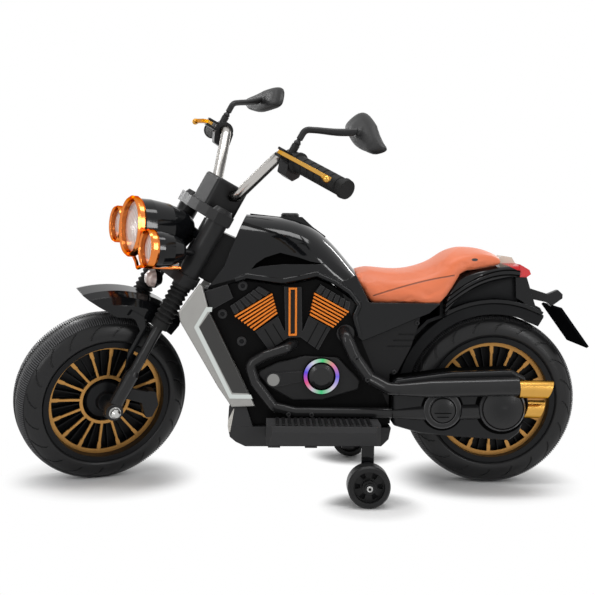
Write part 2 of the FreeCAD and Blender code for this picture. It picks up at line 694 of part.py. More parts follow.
def dome_lamp():
    radius = S.dome_radius
    turn = FreeCAD.Rotation(V(0, 1, 0), 90 + S.lamp_tilt.value)
    at = (S.dome_forward, 0, S.dome_level)
    cup = turned("dome_cup", [(0, radius * -0.9), (radius * 0.6, radius * -0.8), (radius, radius * -0.2),
                              (radius, 0), (radius * 0.86, 0), (radius * 0.5, radius * -0.4),
                              (0, radius * -0.5)])
    dome = turned("dome_lens", [(0, 0), (radius * 0.98, 0), (radius * 0.85, radius * 0.45),
                                (radius * 0.5, radius * 0.78), (0, radius * 0.88)])
    post = rod("dome_post", 4, S.yoke_low - S.dome_level - 6, (S.dome_forward - 10, 0, S.dome_level + 6))
    return fuse("dome_whole", place(cup, at, turn), post), place(dome, at, turn)


def guard_bar():
    """Thin bright bar that runs from fork tube to fork tube under the lamps, with a V in the middle."""
    low = S.yoke_low
    left = [(S.tube_radius, S.fork_half + 2, S.yoke_high + 6), (66, 68, low + 4), (63, 15, low - 10)]
    right = [(forward, -sized(reach), level) for forward, reach, level in reversed(left)]
    bar = bent_tube("guard_form", left + [(61, 0, low - 18)] + right, S.guard_radius, 7)
    room = rod("guard_trim", S.tube_radius + S.fit_gap, 60, (0, S.fork_half, S.yoke_low))
    return cut("guard_whole_bar", bar, room, mirrored(room))


# Mudguards

def arch_form(name, skirt, crown, half, wall, span, middle):
    """A channel with a rounded crown, turned part of the way round an axle."""
    rise = crown - skirt
    outer = [(skirt, half), (skirt + rise * 0.55, half - 1), (crown - 6, half - 11), (crown, half * 0.4)]
    inner = [(crown - wall, half * 0.4 - 1), (crown - wall - 5, half - wall - 11),
             (skirt + rise * 0.5, half - wall - 1), (skirt, half - wall)]
    there = both_sides(outer)
    back = [(radius, -sized(height)) for radius, height in reversed(inner)] + inner
    body = turned(name, there + back, span)
    body.Tip.Midplane = True
    turn = FreeCAD.Rotation(V(0, 1, 0), -sized(middle).value).multiply(ALONG_Y)
    return place(body, turn=turn)


def around(radius, angle):
    """A point of the side view at a distance and an angle from the axle."""
    angle = math.radians(angle)
    return (sized(radius).value * math.cos(angle), sized(radius).value * math.sin(angle))


def front_fender():
    arch = arch_form("fender_arch", S.fender_skirt, S.fender_crown, S.fender_half, S.fender_wall,
                     S.fender_span, S.fender_middle)
    nose = S.fender_middle.value - S.fender_span.value / 2
    low = S.fender_skirt.value - 30
    swoop = side_slab("fender_swoop", [around(S.fender_crown - 1, nose),
                                       around(S.fender_skirt - 2, nose + 17), around(low, nose + 17),
                                       around(low, nose - 12), around(S.fender_crown - 1, nose - 12)],
                      -90, 90)
    skirt = S.fender_skirt
    stay = side_slab("fender_stay", [(54, skirt + 8), (28, skirt + 6), (12, skirt - 13), (12, 108), (-5, 80),
                                     (-5, 62), (5, 62), (22, 104), (22, skirt - 20), (40, skirt - 6),
                                     (56, skirt - 4)],
                     S.fender_half, S.fork_half - S.leg_radius)
    node("front_fender", fuse("fender_whole", cut("fender_trimmed", arch, swoop), stay, mirrored(stay)),
         frame=FRONT)


def caliper():
    block = side_slab("caliper_block", [(-46, 56), (-62, 60), (-79, 40), (-80, 14), (-70, 8), (-48, 30)],
                      44, 66)
    soften(block, 4, along(1))
    arm = side_slab("caliper_arm", [(-6, 26), (-6, 46), (-50, 55), (-50, 31)], 58, 66)
    leg = rod("caliper_leg", S.leg_radius + S.fit_gap, 90, (0, S.fork_half, -10))
    node("brake_caliper", cut("caliper_form", fuse("caliper_whole", block, arm), leg), frame=FRONT)


# Body

def core():
    """Moulded chassis tray, open on the left where the battery goes in."""
    corners = [(478, S.core_floor), (482, 150), (500, 200), (550, 318), (540, S.core_top), (262, S.core_top),
               (236, S.seat_level), (100, S.seat_level), (100, 316), (126, 306), (160, 271), (182, 226),
               (193, 177), (193, S.core_floor)]
    body = body_slab("core_form", corners, -S.core_half, S.core_half)
    level = S.core_half.value
    hollow(body, S.core_wall, lambda face: abs(face.CenterOfMass.y - level) < 1e-4)
    node("main_core", body)
    floor = S.core_floor + S.core_wall
    box = doc.addObject("Part::Box", "battery_form")
    for prop, size in (("Length", S.battery_length), ("Width", S.battery_width),
                       ("Height", S.battery_height)):
        bind(box, prop, size)
    start = over(461) - S.battery_length
    node("battery", place(box, (start, S.core_wall - S.core_half, up(floor))))


def neck():
    low, high = [STRAIGHT.multVec(numbers((-S.fork_offset, 0, level)))
                 for level in (S.head_low + 11, S.head_high - 10)]
    foot = [(over(534), up(S.core_top)), (low.x, low.z), (high.x, high.z), (over(482), up(455)),
            (over(466), up(S.core_top))]
    web = side_slab("neck_web", foot, -S.neck_half, S.neck_half)
    tilt = FreeCAD.Rotation(V(0, 1, 0), -S.rake.value)
    base = STRAIGHT.multVec(numbers((-S.fork_offset, 0, S.head_low)))
    length = S.head_high - S.head_low
    tube = rod("head_tube_form", S.head_radius, length, (base.x, base.y, base.z), tilt)
    bore = rod("head_bore", S.bush_radius + S.fit_gap, length * 3,
               tuple(base - tilt.multVec(V(0, 0, length.value))), tilt)
    room = rod("yoke_room", 62, 30, tuple(base - tilt.multVec(V(0, 0, 30))), tilt)
    node("head_tube", cut("neck_form", fuse("neck_whole", web, tube), bore, room))
    inner = S.stem_radius + S.running_gap
    gap = S.head_low - S.yoke_high - S.running_gap
    bush = turned("bush_form", [(inner, -gap), (S.bush_flange, -gap), (S.bush_flange, 0), (S.bush_radius, 0),
                                (S.bush_radius, S.bush_length), (inner, S.bush_length)])
    lower = place(bush, (-S.fork_offset, 0, S.head_low))
    top = turned("top_bush_form", [(inner, gap), (S.bush_flange, gap), (S.bush_flange, 0), (S.bush_radius, 0),
                                   (S.bush_radius, -S.bush_length), (inner, -S.bush_length)])
    node("steering_bushes", lower, place(top, (-S.fork_offset, 0, S.head_high)), frame=STRAIGHT)


def tank_section(place_x, half, top, inset):
    """Left half of the tank across the bike: flat foot, swelling side, shoulder and split line."""
    low = up(S.core_top).value - inset
    half, top = half - inset, up(top).value - inset
    rise = top - low
    split = S.tank_split.value
    points = [V(over(place_x).value, across, level) for across, level in (
        (split, low), (half * 0.94, low), (half, low + rise * 0.32), (half * 0.9, low + rise * 0.66),
        (half * 0.62, low + rise * 0.93), (split, top))]
    foot, corner, swell, waist, shoulder, crown = points
    return Part.Wire([line(foot, corner), arc(corner, swell, waist), arc(waist, shoulder, crown),
                      line(crown, foot)])


def flange_rod(name, radius):
    """The round flange where the rear pipe leaves the engine, or the room for it."""
    return rod(name, radius, 5, spot(281, S.engine_face, 288), ALONG_Y)


def intake_corners():
    return [(452, 402), (444, 412), (428, 423), (401, 432), (371, 425), (346, 417), (318, 412.5),
            (352, 412), (395, 412), (436, 407)]


def rail():
    """Rounded lip that frames the engine opening, from the front of the tank to the side cover."""
    points = [(480, 93, 383), (460, 96, 390), (428, 99, 386), (395, 100, 382), (365, 100, 388),
              (335, 97, 395), (302, 91, 381), (274, 90, 362), (257, 90, 340), (265, 90, 320), (256, 90, 284)]
    return bent_tube("tank_rail", [spot(*point) for point in points], S.rail_radius, 8)


def tank():
    stations = [(262, 80, 398), (300, 92, 440), (340, 100, 472), (400, 104, 491), (470, 98, 497),
                (550, 88, 492)]
    wall = S.tank_wall.value
    outside = Part.makeLoft([tank_section(*station, 0) for station in stations], True, False)
    room = [(stations[0][0] + wall,) + stations[0][1:]] + stations[1:-1] + [(552,) + stations[-1][1:]]
    inside = Part.makeLoft([tank_section(*station, wall) for station in room], True, False)
    behind_axle = [(273, 530), (273, 505), (259, 474), (232, 405), (196, S.core_top - 5),
                   (113, S.core_top - 5), (113, 530)]
    mouth = side_slab("tank_mouth", [(S.wheelbase - behind, up(level)) for behind, level in behind_axle],
                      -140, 140)
    opening = body_slab("tank_opening", [(548, 340), (548, 363.5), (487, 382), (461, 387), (428, 383),
                                         (395, 379), (365, 385), (335, 392), (303, 378), (276, 359),
                                         (258, 340)], S.core_half, 140)
    intake = body_slab("tank_intake", intake_corners(), S.engine_face, 140)
    half = cut("tank_dome", shaped("tank_skin", outside), shaped("tank_room", inside), mouth, opening, intake)
    haunch = body_slab("tank_haunch", [(303, 374), (264, 394), (239, 344.5), (110, 344.5), (114, 340),
                                       (130, 326), (168, 310), (213, 290), (251, 274), (262, 284),
                                       (268, 318), (262, 338), (278, 357)],
                       S.engine_face, S.engine_face + 8)
    soften(haunch, 2, at_level(1, S.engine_face + 8))
    backing = body_slab("intake_back", [(460, 395), (446, 418), (428, 430), (401, 439), (368, 432),
                                        (310, 414), (352, 404), (395, 402)], S.engine_face, S.engine_face + 3)
    whole = fuse("tank_whole", half, haunch, backing, rail())
    half = cut("tank_half", whole, flange_rod("flange_room", S.flange_radius + S.seat_gap))
    sides("tank_shell", half)
    bridge = body_slab("console_form", [(316, 461), (340, 478), (360, 496), (404, 496), (456, 501),
                                        (456, 495), (400, 489), (340, 470), (318, 455)],
                       -S.console_half, S.console_half)
    cap_at = spot(382, 0, 496)
    cap_room = rod("cap_room", S.cap_radius + S.seat_gap, 20, cap_at)
    node("tank_console", cut("console_whole", bridge, half, mirrored(half), mouth, cap_room))
    cap = turned("cap_form", [(0, 0), (S.cap_radius, 0), (S.cap_radius, 4), (S.cap_radius - 3, 7), (0, 7)])
    node("fuel_cap", place(cap, cap_at))


def cushion_section(place_x, half, low, top):
    """A soft section: flat base, drawn-in sides and a crown."""
    rise = top - low
    edge = [(half * 0.9, low), (half, low + rise * 0.45), (half * 0.86, low + rise * 0.82)]
    base, side, brow = [numbers(spot(place_x, across, level)) for across, level in edge]
    far_base, far_side, far_brow = [numbers(spot(place_x, -across, level)) for across, level in edge]
    crown = numbers(spot(place_x, 0, top))
    return Part.Wire([line(far_base, base), arc(base, side, brow), arc(brow, crown, far_brow),
                      arc(far_brow, far_side, far_base)])


def seat_and_tail():
    stations = [(262, 70, 380, 401), (238, 82, 344, 402), (198, 92, 338, 398), (150, 95, 338, 402),
                (112, 92, 340, 417), (80, 86, 380, 436), (50, 78, 396, 441), (15, 66, 402, 436),
                (-6, 54, 408, 425)]
    bed = body_slab("seat_bed", [(-80, 413), (8, 413), (63, 408), (76, 402), (110, S.seat_level),
                                 (236, S.seat_level), (261.7, 392), (261.7, 520), (330, 520), (330, 200),
                                 (-80, 200)], -150, 150)
    soft = shaped("seat_loft", Part.makeLoft([cushion_section(*row) for row in stations], True, False))
    seat = cut("seat_form", soft, bed)
    node("seat_cushion", seat)
    tail_rows = [(100, 80, 316, 345), (80, 80, 344, 396), (50, 76, 368, 409), (10, 66, 384, 414),
                 (-24, 54, 390, 416), (-44, 46, 392, 416)]
    cowl = shaped("tail_loft", Part.makeLoft([cushion_section(*row) for row in tail_rows], True, False))
    tail = cut("tail_form", cowl, seat)
    node("tail_cowl", tail)
    light = body_slab("tail_light_form", [(-44, 415), (-62, 405), (-65, 397), (-57, 391), (-44, 391)],
                      -42, 42)
    lamp = body_slab("tail_lamp_form", [(-9, 412), (-14, 430), (-34, 427), (-43, 412)], -18, 18)
    node("tail_light", light, cut("tail_lamp_whole", lamp, tail, seat))
    rear_guard(tail)


def rear_guard(tail):
    arch = arch_form("guard_arch", S.guard_skirt, S.guard_crown, S.guard_half, S.fender_wall, S.guard_span,
                     S.guard_middle)
    arch = seated(arch, REAR_AXLE)
    pillar = body_slab("guard_pillar", [(-36, 391), (-57, 391), (-80, 322), (-76, 312), (-66, 323),
                                        (-52, 345), (-38, 353)], -44, 44)
    room = rod("guard_room", S.wheel_radius + 9, 120, (0, -60, S.wheel_radius), ALONG_Y)
    guard = cut("guard_form", fuse("guard_whole", arch, pillar), tail, room)
    node("rear_fender", guard)
    arm = body_slab("plate_arm", [(-55, 374), (-58, 352), (-108, 342), (-115, 335), (-118.8, 337.4),
                                  (-136, 350.3), (-136, 358), (-127, 366), (-108, 358)], -7, 7)
    blank = body_slab("plate_form", [(-119, 337), (-115, 334), (-168, 263), (-172, 266)], -62, 62)
    node("plate_bracket", cut("plate_arm_form", arm, guard, blank))
    node("number_plate", blank)


def mix(first, last, share):
    return tuple(a + (b - a) * share for a, b in zip(first, last))


def strip(first, last, width):
    """Corners of a straight bar of the side view."""
    run = V(last[0] - first[0], last[1] - first[1], 0).normalize() * (width / 2)
    return [(first[0] + run.y, first[1] - run.x), (last[0] + run.y, last[1] - run.x),
            (last[0] - run.y, last[1] + run.x), (first[0] - run.y, first[1] + run.x)]


# Each cylinder of the V: the lower and upper edge of its fins, the edge of its head and its jug
FRONT_CYLINDER = {"foot": ((447, 293), (405, 325)), "head": ((480, 317), (414, 358)),
                  "crown": ((489, 335), (437, 371)),
                  "jug": [(443.5, 290), (403.5, 318), (385, 279), (419, 257)]}
REAR_CYLINDER = {"foot": ((303, 300), (346, 323)), "head": ((277, 327), (339, 360)),
                 "crown": ((274, 344), (328, 376)),
                 "jug": [(348, 319), (308, 298), (330, 258), (363, 281)]}


def fin_stack(name, cylinder):
    """A stack of cooling fins that widens from its foot to its head."""
    count, thick = 7, 3.2
    fins = []
    for index in range(count):
        share = index / (count - 1)
        ends = [mix(low, high, share) for low, high in zip(cylinder["foot"], cylinder["head"])]
        fins.append(body_slab(f"{name}_{index}", strip(*ends, thick), S.engine_face, S.fin_face))
    return fins


def cylinder_block(name, cylinder):
    """The plain jug below the fins and the ribbed head above them."""
    count, width = 6, 7.5
    jug = body_slab(f"{name}_jug", cylinder["jug"], S.engine_face, S.jug_face)
    seat = [mix(low, high, 0.18) for low, high in zip(cylinder["head"], cylinder["crown"])]
    edge = cylinder["crown"]
    head = body_slab(f"{name}_head", [seat[0], seat[1], edge[1], edge[0]], S.engine_face, S.jug_face)
    ribs = []
    for index in range(count):
        share = (index + 0.5) / count
        corners = strip(mix(*seat, share), mix(*edge, share), width)
        ribs.append(body_slab(f"{name}_rib_{index}", corners, S.engine_face, S.fin_face))
    return [jug, head] + ribs


def engine():
    cover = body_slab("engine_base", [(199, S.core_floor), (482, S.core_floor), (486, 150), (508, 200),
                                      (545, 300), (533, 358), (486, 375), (461, 380), (428, 376), (395, 372),
                                      (365, 378), (335, 385), (306, 373), (280, 355), (262, 343), (140, 343),
                                      (150, 300), (161, 264), (186, 215), (199, 215)],
                      S.core_half, S.engine_face)
    inner = S.core_half.value
    hollow(cover, S.cover_wall, lambda face: abs(face.CenterOfMass.y - inner) < 1e-4)
    case = body_slab("engine_case", [(254, 204), (294, 245), (354, 247), (404, 235), (442, 216), (419, 191),
                                     (375, 166), (320, 167), (257, 187)], S.engine_face, S.relief_face)
    soften(case, 7, along(1))
    soften(case, 3, at_level(1, S.relief_face))
    column = body_slab("engine_column", [(393, 371), (362, 371), (359, 281), (389, 279)], S.engine_face,
                       S.jug_face)
    box = body_slab("engine_box", [(534, 361), (494, 374), (484, 350), (524, 327)], S.engine_face,
                    S.relief_face)
    arm = body_slab("clutch_arm", [(406, 216), (358, 220), (358, 202), (406, 191)], S.relief_face,
                    S.relief_face + 5)
    arm_end = rod("clutch_arm_end", S.badge_radius, S.relief_face + 6 - S.engine_face,
                  spot(410, S.engine_face, 204), ALONG_Y)
    blocks = cylinder_block("front", FRONT_CYLINDER) + cylinder_block("rear", REAR_CYLINDER)
    whole = fuse("engine_whole", cover, case, column, box, arm, arm_end, *blocks)
    louvres = [body_slab(f"louvre_{index}", strip((148 + 5 * index, level), (184 + 10 * index, level), 2.4),
                         S.engine_face - S.louvre_depth, S.engine_face + 1)
               for index, level in enumerate((287, 276, 265))]
    ring_room = rod("ring_room", S.ring_outer + 1, 12, ring_place(), ALONG_Y)
    sides("engine_cover", cut("engine_form", whole, ring_room, *louvres))
    frame = cut("centre_frame", body_slab("frame_outside", [(385, 370), (370, 370), (369, 284), (384, 283)],
                                          S.jug_face, S.jug_face + 5),
                body_slab("frame_inside", [(381.5, 366.5), (373.5, 366.5), (372.5, 287.5), (380.5, 286.5)],
                          S.jug_face, S.jug_face + 6))
    parts = fin_stack("front_fin", FRONT_CYLINDER) + fin_stack("rear_fin", REAR_CYLINDER) + [frame]
    node("engine_trim", *parts, *[mirrored(part) for part in parts])


def ring_place():
    return spot(S.ring_place, S.relief_face, S.ring_level)


def cover_places():
    return (0, S.arm_outer, S.wheel_radius), spot(S.small_cover_place, S.arm_outer, S.small_cover_level)


def cover_room(name):
    """The space the two round covers of a swing arm take up, for cutting what runs past them."""
    hub_at, small_at = cover_places()
    return fuse(name, rod(f"{name}_hub", S.hub_cover_radius + S.seat_gap, 14 + S.seat_gap, hub_at, ALONG_Y),
                rod(f"{name}_small", S.small_cover_radius + S.seat_gap, 10 + S.seat_gap, small_at, ALONG_Y))


def trims():
    """Round covers, light guides and the silver side panels."""
    hub_at, small_at = cover_places()
    ring_at = ring_place()
    edge, small_edge = S.hub_cover_radius, S.small_cover_radius
    hub = turned("hub_cover", [(24, 0), (edge, 0), (edge, 6), (edge - 4, 12), (0, 14), (0, 11), (24, 11)])
    small = turned("small_cover", [(0, 0), (small_edge, 0), (small_edge, 4), (24, 6), (24, 10), (0, 10)])
    clutch = turned("clutch_cap", [(0, 0), (S.ring_inner - 1, 0), (S.ring_inner - 1, 8), (16, 12), (0, 12)])
    covers = [place(hub, hub_at, ALONG_Y), place(small, small_at, ALONG_Y),
              place(clutch, ring_at, ALONG_Y)]
    node("round_covers", *covers, *[mirrored(cover) for cover in covers])
    ring = turned("light_ring", [(S.ring_inner, 0), (S.ring_outer, 0), (S.ring_outer, 10),
                                 (S.ring_inner, 10)])
    led_strip = body_slab("light_strip", [(520, 334), (531, 334), (552, 298), (488, 171), (447, 171),
                                          (450, 178), (484, 178), (544, 299), (528, 326), (521, 326)],
                          S.panel_outer, S.panel_outer + 2)
    guides = [place(ring, ring_at, ALONG_Y), led_strip]
    node("light_guides", *guides, *[mirrored(guide) for guide in guides])
    panel = body_slab("panel_plate", [(543, 376), (580, 325), (577, 307), (509, 191), (484, 155), (442, 157),
                                      (527, 330), (538, 371)], S.panel_inner, S.panel_outer)
    soften(panel, 3, at_level(1, S.panel_outer))
    boss = body_slab("panel_boss", [(490, 215), (506, 215), (522, 262), (506, 262)], S.engine_face,
                     S.panel_inner)
    sides("side_panel", fuse("panel_form", panel, boss))


def can_form(name, inlet, radius, length):
    """A silencer that swells from its inlet pipe."""
    return turned(f"{name}_form", [(0, 0), (inlet, 0), (inlet + 1, 12), (radius, 60), (radius, length),
                                   (0, length)])


def pipes():
    reach = S.pipe_reach
    outside = S.arm_outer + S.rear_pipe_radius + S.seat_gap
    front_run = [(374, S.engine_face, 268), (388, reach, 261), (426, reach, 248), (453, reach, 232),
                 (442, reach, 200), (408, reach, 156), (370, reach, 147), (196, reach, 147)]
    rear_run = [(284, S.engine_face, 292), (280, reach, 280), (264, reach, 246), (238, reach + 4, 210),
                (206, outside, 195), (188, outside, 194)]
    front = bent_tube("front_header", [spot(*point) for point in front_run], S.pipe_radius, 13)
    rear = bent_tube("rear_header", [spot(*point) for point in rear_run], S.rear_pipe_radius, 14)
    flange = flange_rod("pipe_flange", S.flange_radius)
    along_arm = FreeCAD.Rotation(V(0, 1, 0), -88)
    upper = can_form("muffler", S.rear_pipe_radius, S.muffler_radius, over(188) - over(-26))
    lower = can_form("lower_can", S.pipe_radius, S.lower_can_radius, over(196) - over(-31))
    place(upper, spot(188, outside, 194), along_arm)
    place(lower, spot(196, S.lower_can_reach, 147), along_arm)
    blank = doc.getObject("arm_blank")
    cans = [cut(f"{can.Name}_trimmed", can, blank, cover_room(f"{can.Name}_room")) for can in (upper, lower)]
    inside = body_slab("pipe_trim", [(270, 230), (400, 230), (400, 330), (270, 330)], 0, S.engine_face)
    rear_whole = fuse("rear_header_whole", cut("rear_header_trimmed", rear, inside), flange)
    pieces = [cut("front_header_trimmed", front, inside), rear_whole] + cans
    node("header_pipes", *pieces, *[mirrored(piece) for piece in pieces])


def board_bevel(name, end, way):
    """The slanted outer corner at one end of a footboard."""
    reach = S.board_edge
    corners = [(end + way, reach - 18), (end + way, reach + 8), (end - way * 14, reach + 8)]
    return slab(name, "XY_Plane", corners, up(S.board_floor) - 10, up(S.board_top) + 10)


def underside():
    pan = body_slab("belly_form", [(196, S.core_floor), (200, 97), (213, S.belly_floor + 2),
                                   (459, S.belly_floor), (476, 90), (487, 99), (491, S.core_floor)],
                    -S.belly_half, S.belly_half)
    soften(pan, 8, lambda edge: at_level(2, up(S.belly_floor))(edge) and along(1)(edge))
    brim = up(S.core_floor).value
    hollow(pan, S.cover_wall, lambda face: abs(face.CenterOfMass.z - brim) < 1e-4)
    cheek = body_slab("belly_cheek", [(446, S.core_floor), (491, S.core_floor), (489, 154), (458, 154)],
                      S.engine_face + S.seat_gap, S.belly_half - 0.5)
    ground = S.belly_floor.value
    pads = [body_slab(f"belly_pad_{index}", strip((start, ground), (start + 22, ground), 6),
                      S.belly_half - 30, S.belly_half - 4) for index, start in enumerate((262, 329, 396))]
    extras = [cheek] + pads
    node("belly_pan", fuse("belly_whole", pan, *extras, *[mirrored(extra) for extra in extras]))
    edge = S.board_edge
    top, groove, floor = up(S.board_top), up(S.board_top - 3), up(S.board_floor)
    start, count = 122, 7
    pitch = (edge - 6 - start) / count
    corners = [(S.belly_half, up(100)), (S.belly_half, up(116)), (113, up(116)), (118, top)]
    for index in range(count):
        low = start + pitch * index
        corners += [(low, top), (low + 1.5, groove), (low + 4, groove), (low + 5.5, top)]
    corners += [(edge, top), (edge + 2, top - 10), (edge - 6, floor), (120, floor), (112, up(100))]
    board = slab("board_form", "YZ_Plane", corners, over(S.board_rear), over(S.board_front))
    bevels = [board_bevel(name, over(end), way)
              for name, end, way in (("front_bevel", S.board_front, 1), ("rear_bevel", S.board_rear, -1))]
    pair("footboards", cut("board_whole", board, *bevels))


def swing_arms():
    corners = [(196, 126), (196, 208), (91, 223), (-19, 228), (-42, 216), (-50, 165), (-34, 114), (-16, 100),
               (83, 106), (146, 112)]
    blank = body_slab("arm_blank", corners, S.core_half, S.arm_outer)
    body = soften(body_slab("arm_form", corners, S.core_half, S.arm_outer), 9, along(1))
    soften(body, 6, at_level(1, S.arm_outer))
    level = S.core_half.value
    hollow(body, S.arm_wall, lambda face: abs(face.CenterOfMass.y - level) < 1e-4)
    boss_start = S.hub_half + 10
    boss = rod("arm_boss", S.boss_radius, S.arm_outer - 1 - boss_start, (0, boss_start, S.wheel_radius),
               ALONG_Y)
    bore = rod("arm_bore", S.axle_radius + S.fit_gap, 200, (0, 0, S.wheel_radius), ALONG_Y)
    sides("swingarm", cut("arm_whole", fuse("arm_and_boss", body, boss), bore))
    tips = [exhaust_tip("upper_tip", -88, -26.7, 196, S.arm_outer + 11, blank),
            exhaust_tip("lower_tip", -82, -32, 155, S.arm_outer - 18, blank)]
    node("exhaust_tips", *tips, *[mirrored(tip) for tip in tips])
    node("rear_axle", axle_form("rear_axle_form", S.arm_outer, S.arm_outer + 9), frame=REAR_AXLE)
    gear_motor()


def exhaust_tip(name, end, start, level, reach, arm):
    """A bright open tube with a slanted mouth, butted on a silencer or the swing arm."""
    radius = S.tip_radius
    length = over(start) - over(end)
    outside = rod(f"{name}_outside", radius, length, spot(end, reach, level), ALONG_X)
    inside = rod(f"{name}_inside", radius - 2, length - 4, spot(end - 4, reach, level), ALONG_X)
    mouth = body_slab(f"{name}_mouth", [(end - 2, level - 20), (end + 12, level - 20), (end - 2, level + 20)],
                      70, 160)
    return cut(f"{name}_form", outside, inside, mouth, arm, cover_room(f"{name}_room"))


def gear_motor():
    hub = S.boss_radius + S.seat_gap
    box = turned("gearbox_form", [(hub, 60), (S.gearbox_radius, 60), (S.gearbox_radius, 96), (hub, 96)])
    box = place(box, (0, 0, S.wheel_radius), ALONG_Y)
    can = rod("motor_can", S.motor_radius, 42, spot(76, 62, 165), ALONG_Y)
    bridge = body_slab("motor_bridge", [(24, 132), (76, 150), (76, 180), (24, 192)], 64, 92)
    node("gear_motor", mirrored(fuse("gear_motor_form", box, can, bridge)))
    face, back = S.hub_half, S.hub_half + 8
    bore = S.axle_radius + S.seat_gap
    disc = turned("drive_disc", [(bore, face), (28, face), (28, back), (bore, back)])
    dog = pad(disc, "XY_Plane", [(26, -5), (35, -4), (35, 4), (26, 5)], face, back)
    round_pattern(disc, dog, S.dog_count)
    node("drive_gear", mirrored(place(disc, turn=ALONG_Y)), frame=REAR_AXLE)


def stabilisers():
    middle = S.stabiliser_radius
    place_x = over(S.stabiliser_place)
    low, high = place_x - S.strut_width / 2, place_x + S.strut_width / 2
    inner = S.stabiliser_inner - 2
    top = up(S.board_floor)
    strut = side_slab("strut_plate", [(low, middle - 15), (high, middle - 15), (high, top), (low, top)],
                      inner - S.strut_thick, inner)
    soften(strut, 9, lambda edge: along(1)(edge) and edge.Vertexes[0].Z < middle.value)
    span = S.stabiliser_width + 4
    bolt = rod("strut_bolt", S.bolt_radius, span + S.strut_thick,
               (place_x, inner - S.strut_thick, middle), ALONG_Y)
    head = rod("strut_head", 9, 5, (place_x, inner + span - 1, middle), ALONG_Y)
    pair("stabiliser_struts", fuse("strut_form", strut, bolt, head))
    half = S.stabiliser_width / 2
    corners = both_sides([(S.bolt_radius + S.running_gap, half), (12, half), (12, 6), (27, 6), (27, half),
                          (S.stabiliser_radius - 3, half), (S.stabiliser_radius, half - 4)])
    wheel = turned("stabiliser_form", corners)
    window = wheel.newObject("PartDesign::Pocket", "stabiliser_window")
    window.Profile = (sketch_on(wheel, "XY_Plane", 0, [(15, -3), (24, -5), (24, 5), (15, 3)]), [""])
    window.Type = "ThroughAll"
    window.Midplane = True
    round_pattern(wheel, window, S.window_count)
    at = (place_x, S.stabiliser_inner + half, S.stabiliser_radius)
    sides("stabiliser_wheel", place(wheel, at, ALONG_Y))


def charge_socket():
    socket = turned("socket_form", [(4, 0), (10, 0), (10, 3), (7, 5), (4, 5)])
    node("charge_socket", mirrored(place(socket, spot(236, S.engine_face, 250), ALONG_Y)))


def check_and_write():
    doc.recompute()
    bad = [item.Name for item in doc.Objects if "Invalid" in item.State or "Error" in item.State]
    bad += [group.Label for group in nodes if group.Shape.isNull() or not group.Shape.isValid()]
    bad += [group.Label for group in nodes if not group.Shape.Solids]
    if bad:
        raise SystemExit(f"these did not build: {bad}")
    os.makedirs("parts", exist_ok=True)
    for group in nodes:
        group.Shape.exportStep(f"parts/{group.Label}.step")
    print(len(nodes), "sub-parts written")


for build in (road_wheels, fork, steering, handlebar, lamps, front_fender, caliper, core, neck, tank,
              seat_and_tail, engine, trims, swing_arms, pipes, underside, stabilisers, charge_socket):
    build()
check_and_write()
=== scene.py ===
import json
import math

import bmesh
import bpy
from bpy.props import FloatProperty, FloatVectorProperty, IntProperty, PointerProperty
from mathutils import Matrix, Vector


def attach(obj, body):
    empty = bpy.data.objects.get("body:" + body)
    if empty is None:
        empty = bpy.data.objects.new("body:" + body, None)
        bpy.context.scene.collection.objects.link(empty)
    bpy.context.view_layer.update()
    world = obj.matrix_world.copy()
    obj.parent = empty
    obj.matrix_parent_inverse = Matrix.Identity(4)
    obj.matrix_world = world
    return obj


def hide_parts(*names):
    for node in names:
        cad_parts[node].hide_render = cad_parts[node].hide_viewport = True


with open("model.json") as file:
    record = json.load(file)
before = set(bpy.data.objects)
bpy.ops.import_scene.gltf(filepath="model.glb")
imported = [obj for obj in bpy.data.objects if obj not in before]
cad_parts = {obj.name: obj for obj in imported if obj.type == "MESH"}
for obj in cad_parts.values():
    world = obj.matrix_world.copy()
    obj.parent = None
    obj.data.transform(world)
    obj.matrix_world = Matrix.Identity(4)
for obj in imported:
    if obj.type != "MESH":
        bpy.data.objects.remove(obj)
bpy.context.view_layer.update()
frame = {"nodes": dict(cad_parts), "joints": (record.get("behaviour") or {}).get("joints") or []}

bl_info = {
    "name": "Kids Motorbike Dressing",
    "version": (1, 0, 0),
    "blender": (4, 5, 0),
    "location": "View3D > Sidebar > Motorbike",
    "description": "Finishes, soft seat, tyres and small trim for a packed ride-on motorbike",
    "category": "Object",
}

JOINTS = {joint["name"]: joint for joint in frame["joints"]}
NODES = frame["nodes"]
SIDES = {"left": 1, "right": -1}
UP = Vector((0, 0, 1))


def hinge(name):
    """Point and direction of a joint at rest."""
    joint = JOINTS[name]
    return Vector(joint["pos_m"]), Vector(joint["axis"])


_, STEER_AXIS = hinge("steering")
FRONT_AXLE, FRONT_SPIN = hinge("front_wheel_spin")
REAR_AXLE, REAR_SPIN = hinge("rear_wheel_spin")


def upright_frame(origin, across, up):
    """A frame with Y along a direction and Z as near to another as it can be."""
    y = across.normalized()
    x = y.cross(up).normalized()
    z = x.cross(y)
    turn = Matrix((x, y, z)).transposed().to_4x4()
    return Matrix.Translation(origin) @ turn


# The fork's own frame: X forward, Y left, Z along the steering axis, with its origin at the front axle
FORK = upright_frame(FRONT_AXLE, FRONT_SPIN, STEER_AXIS)

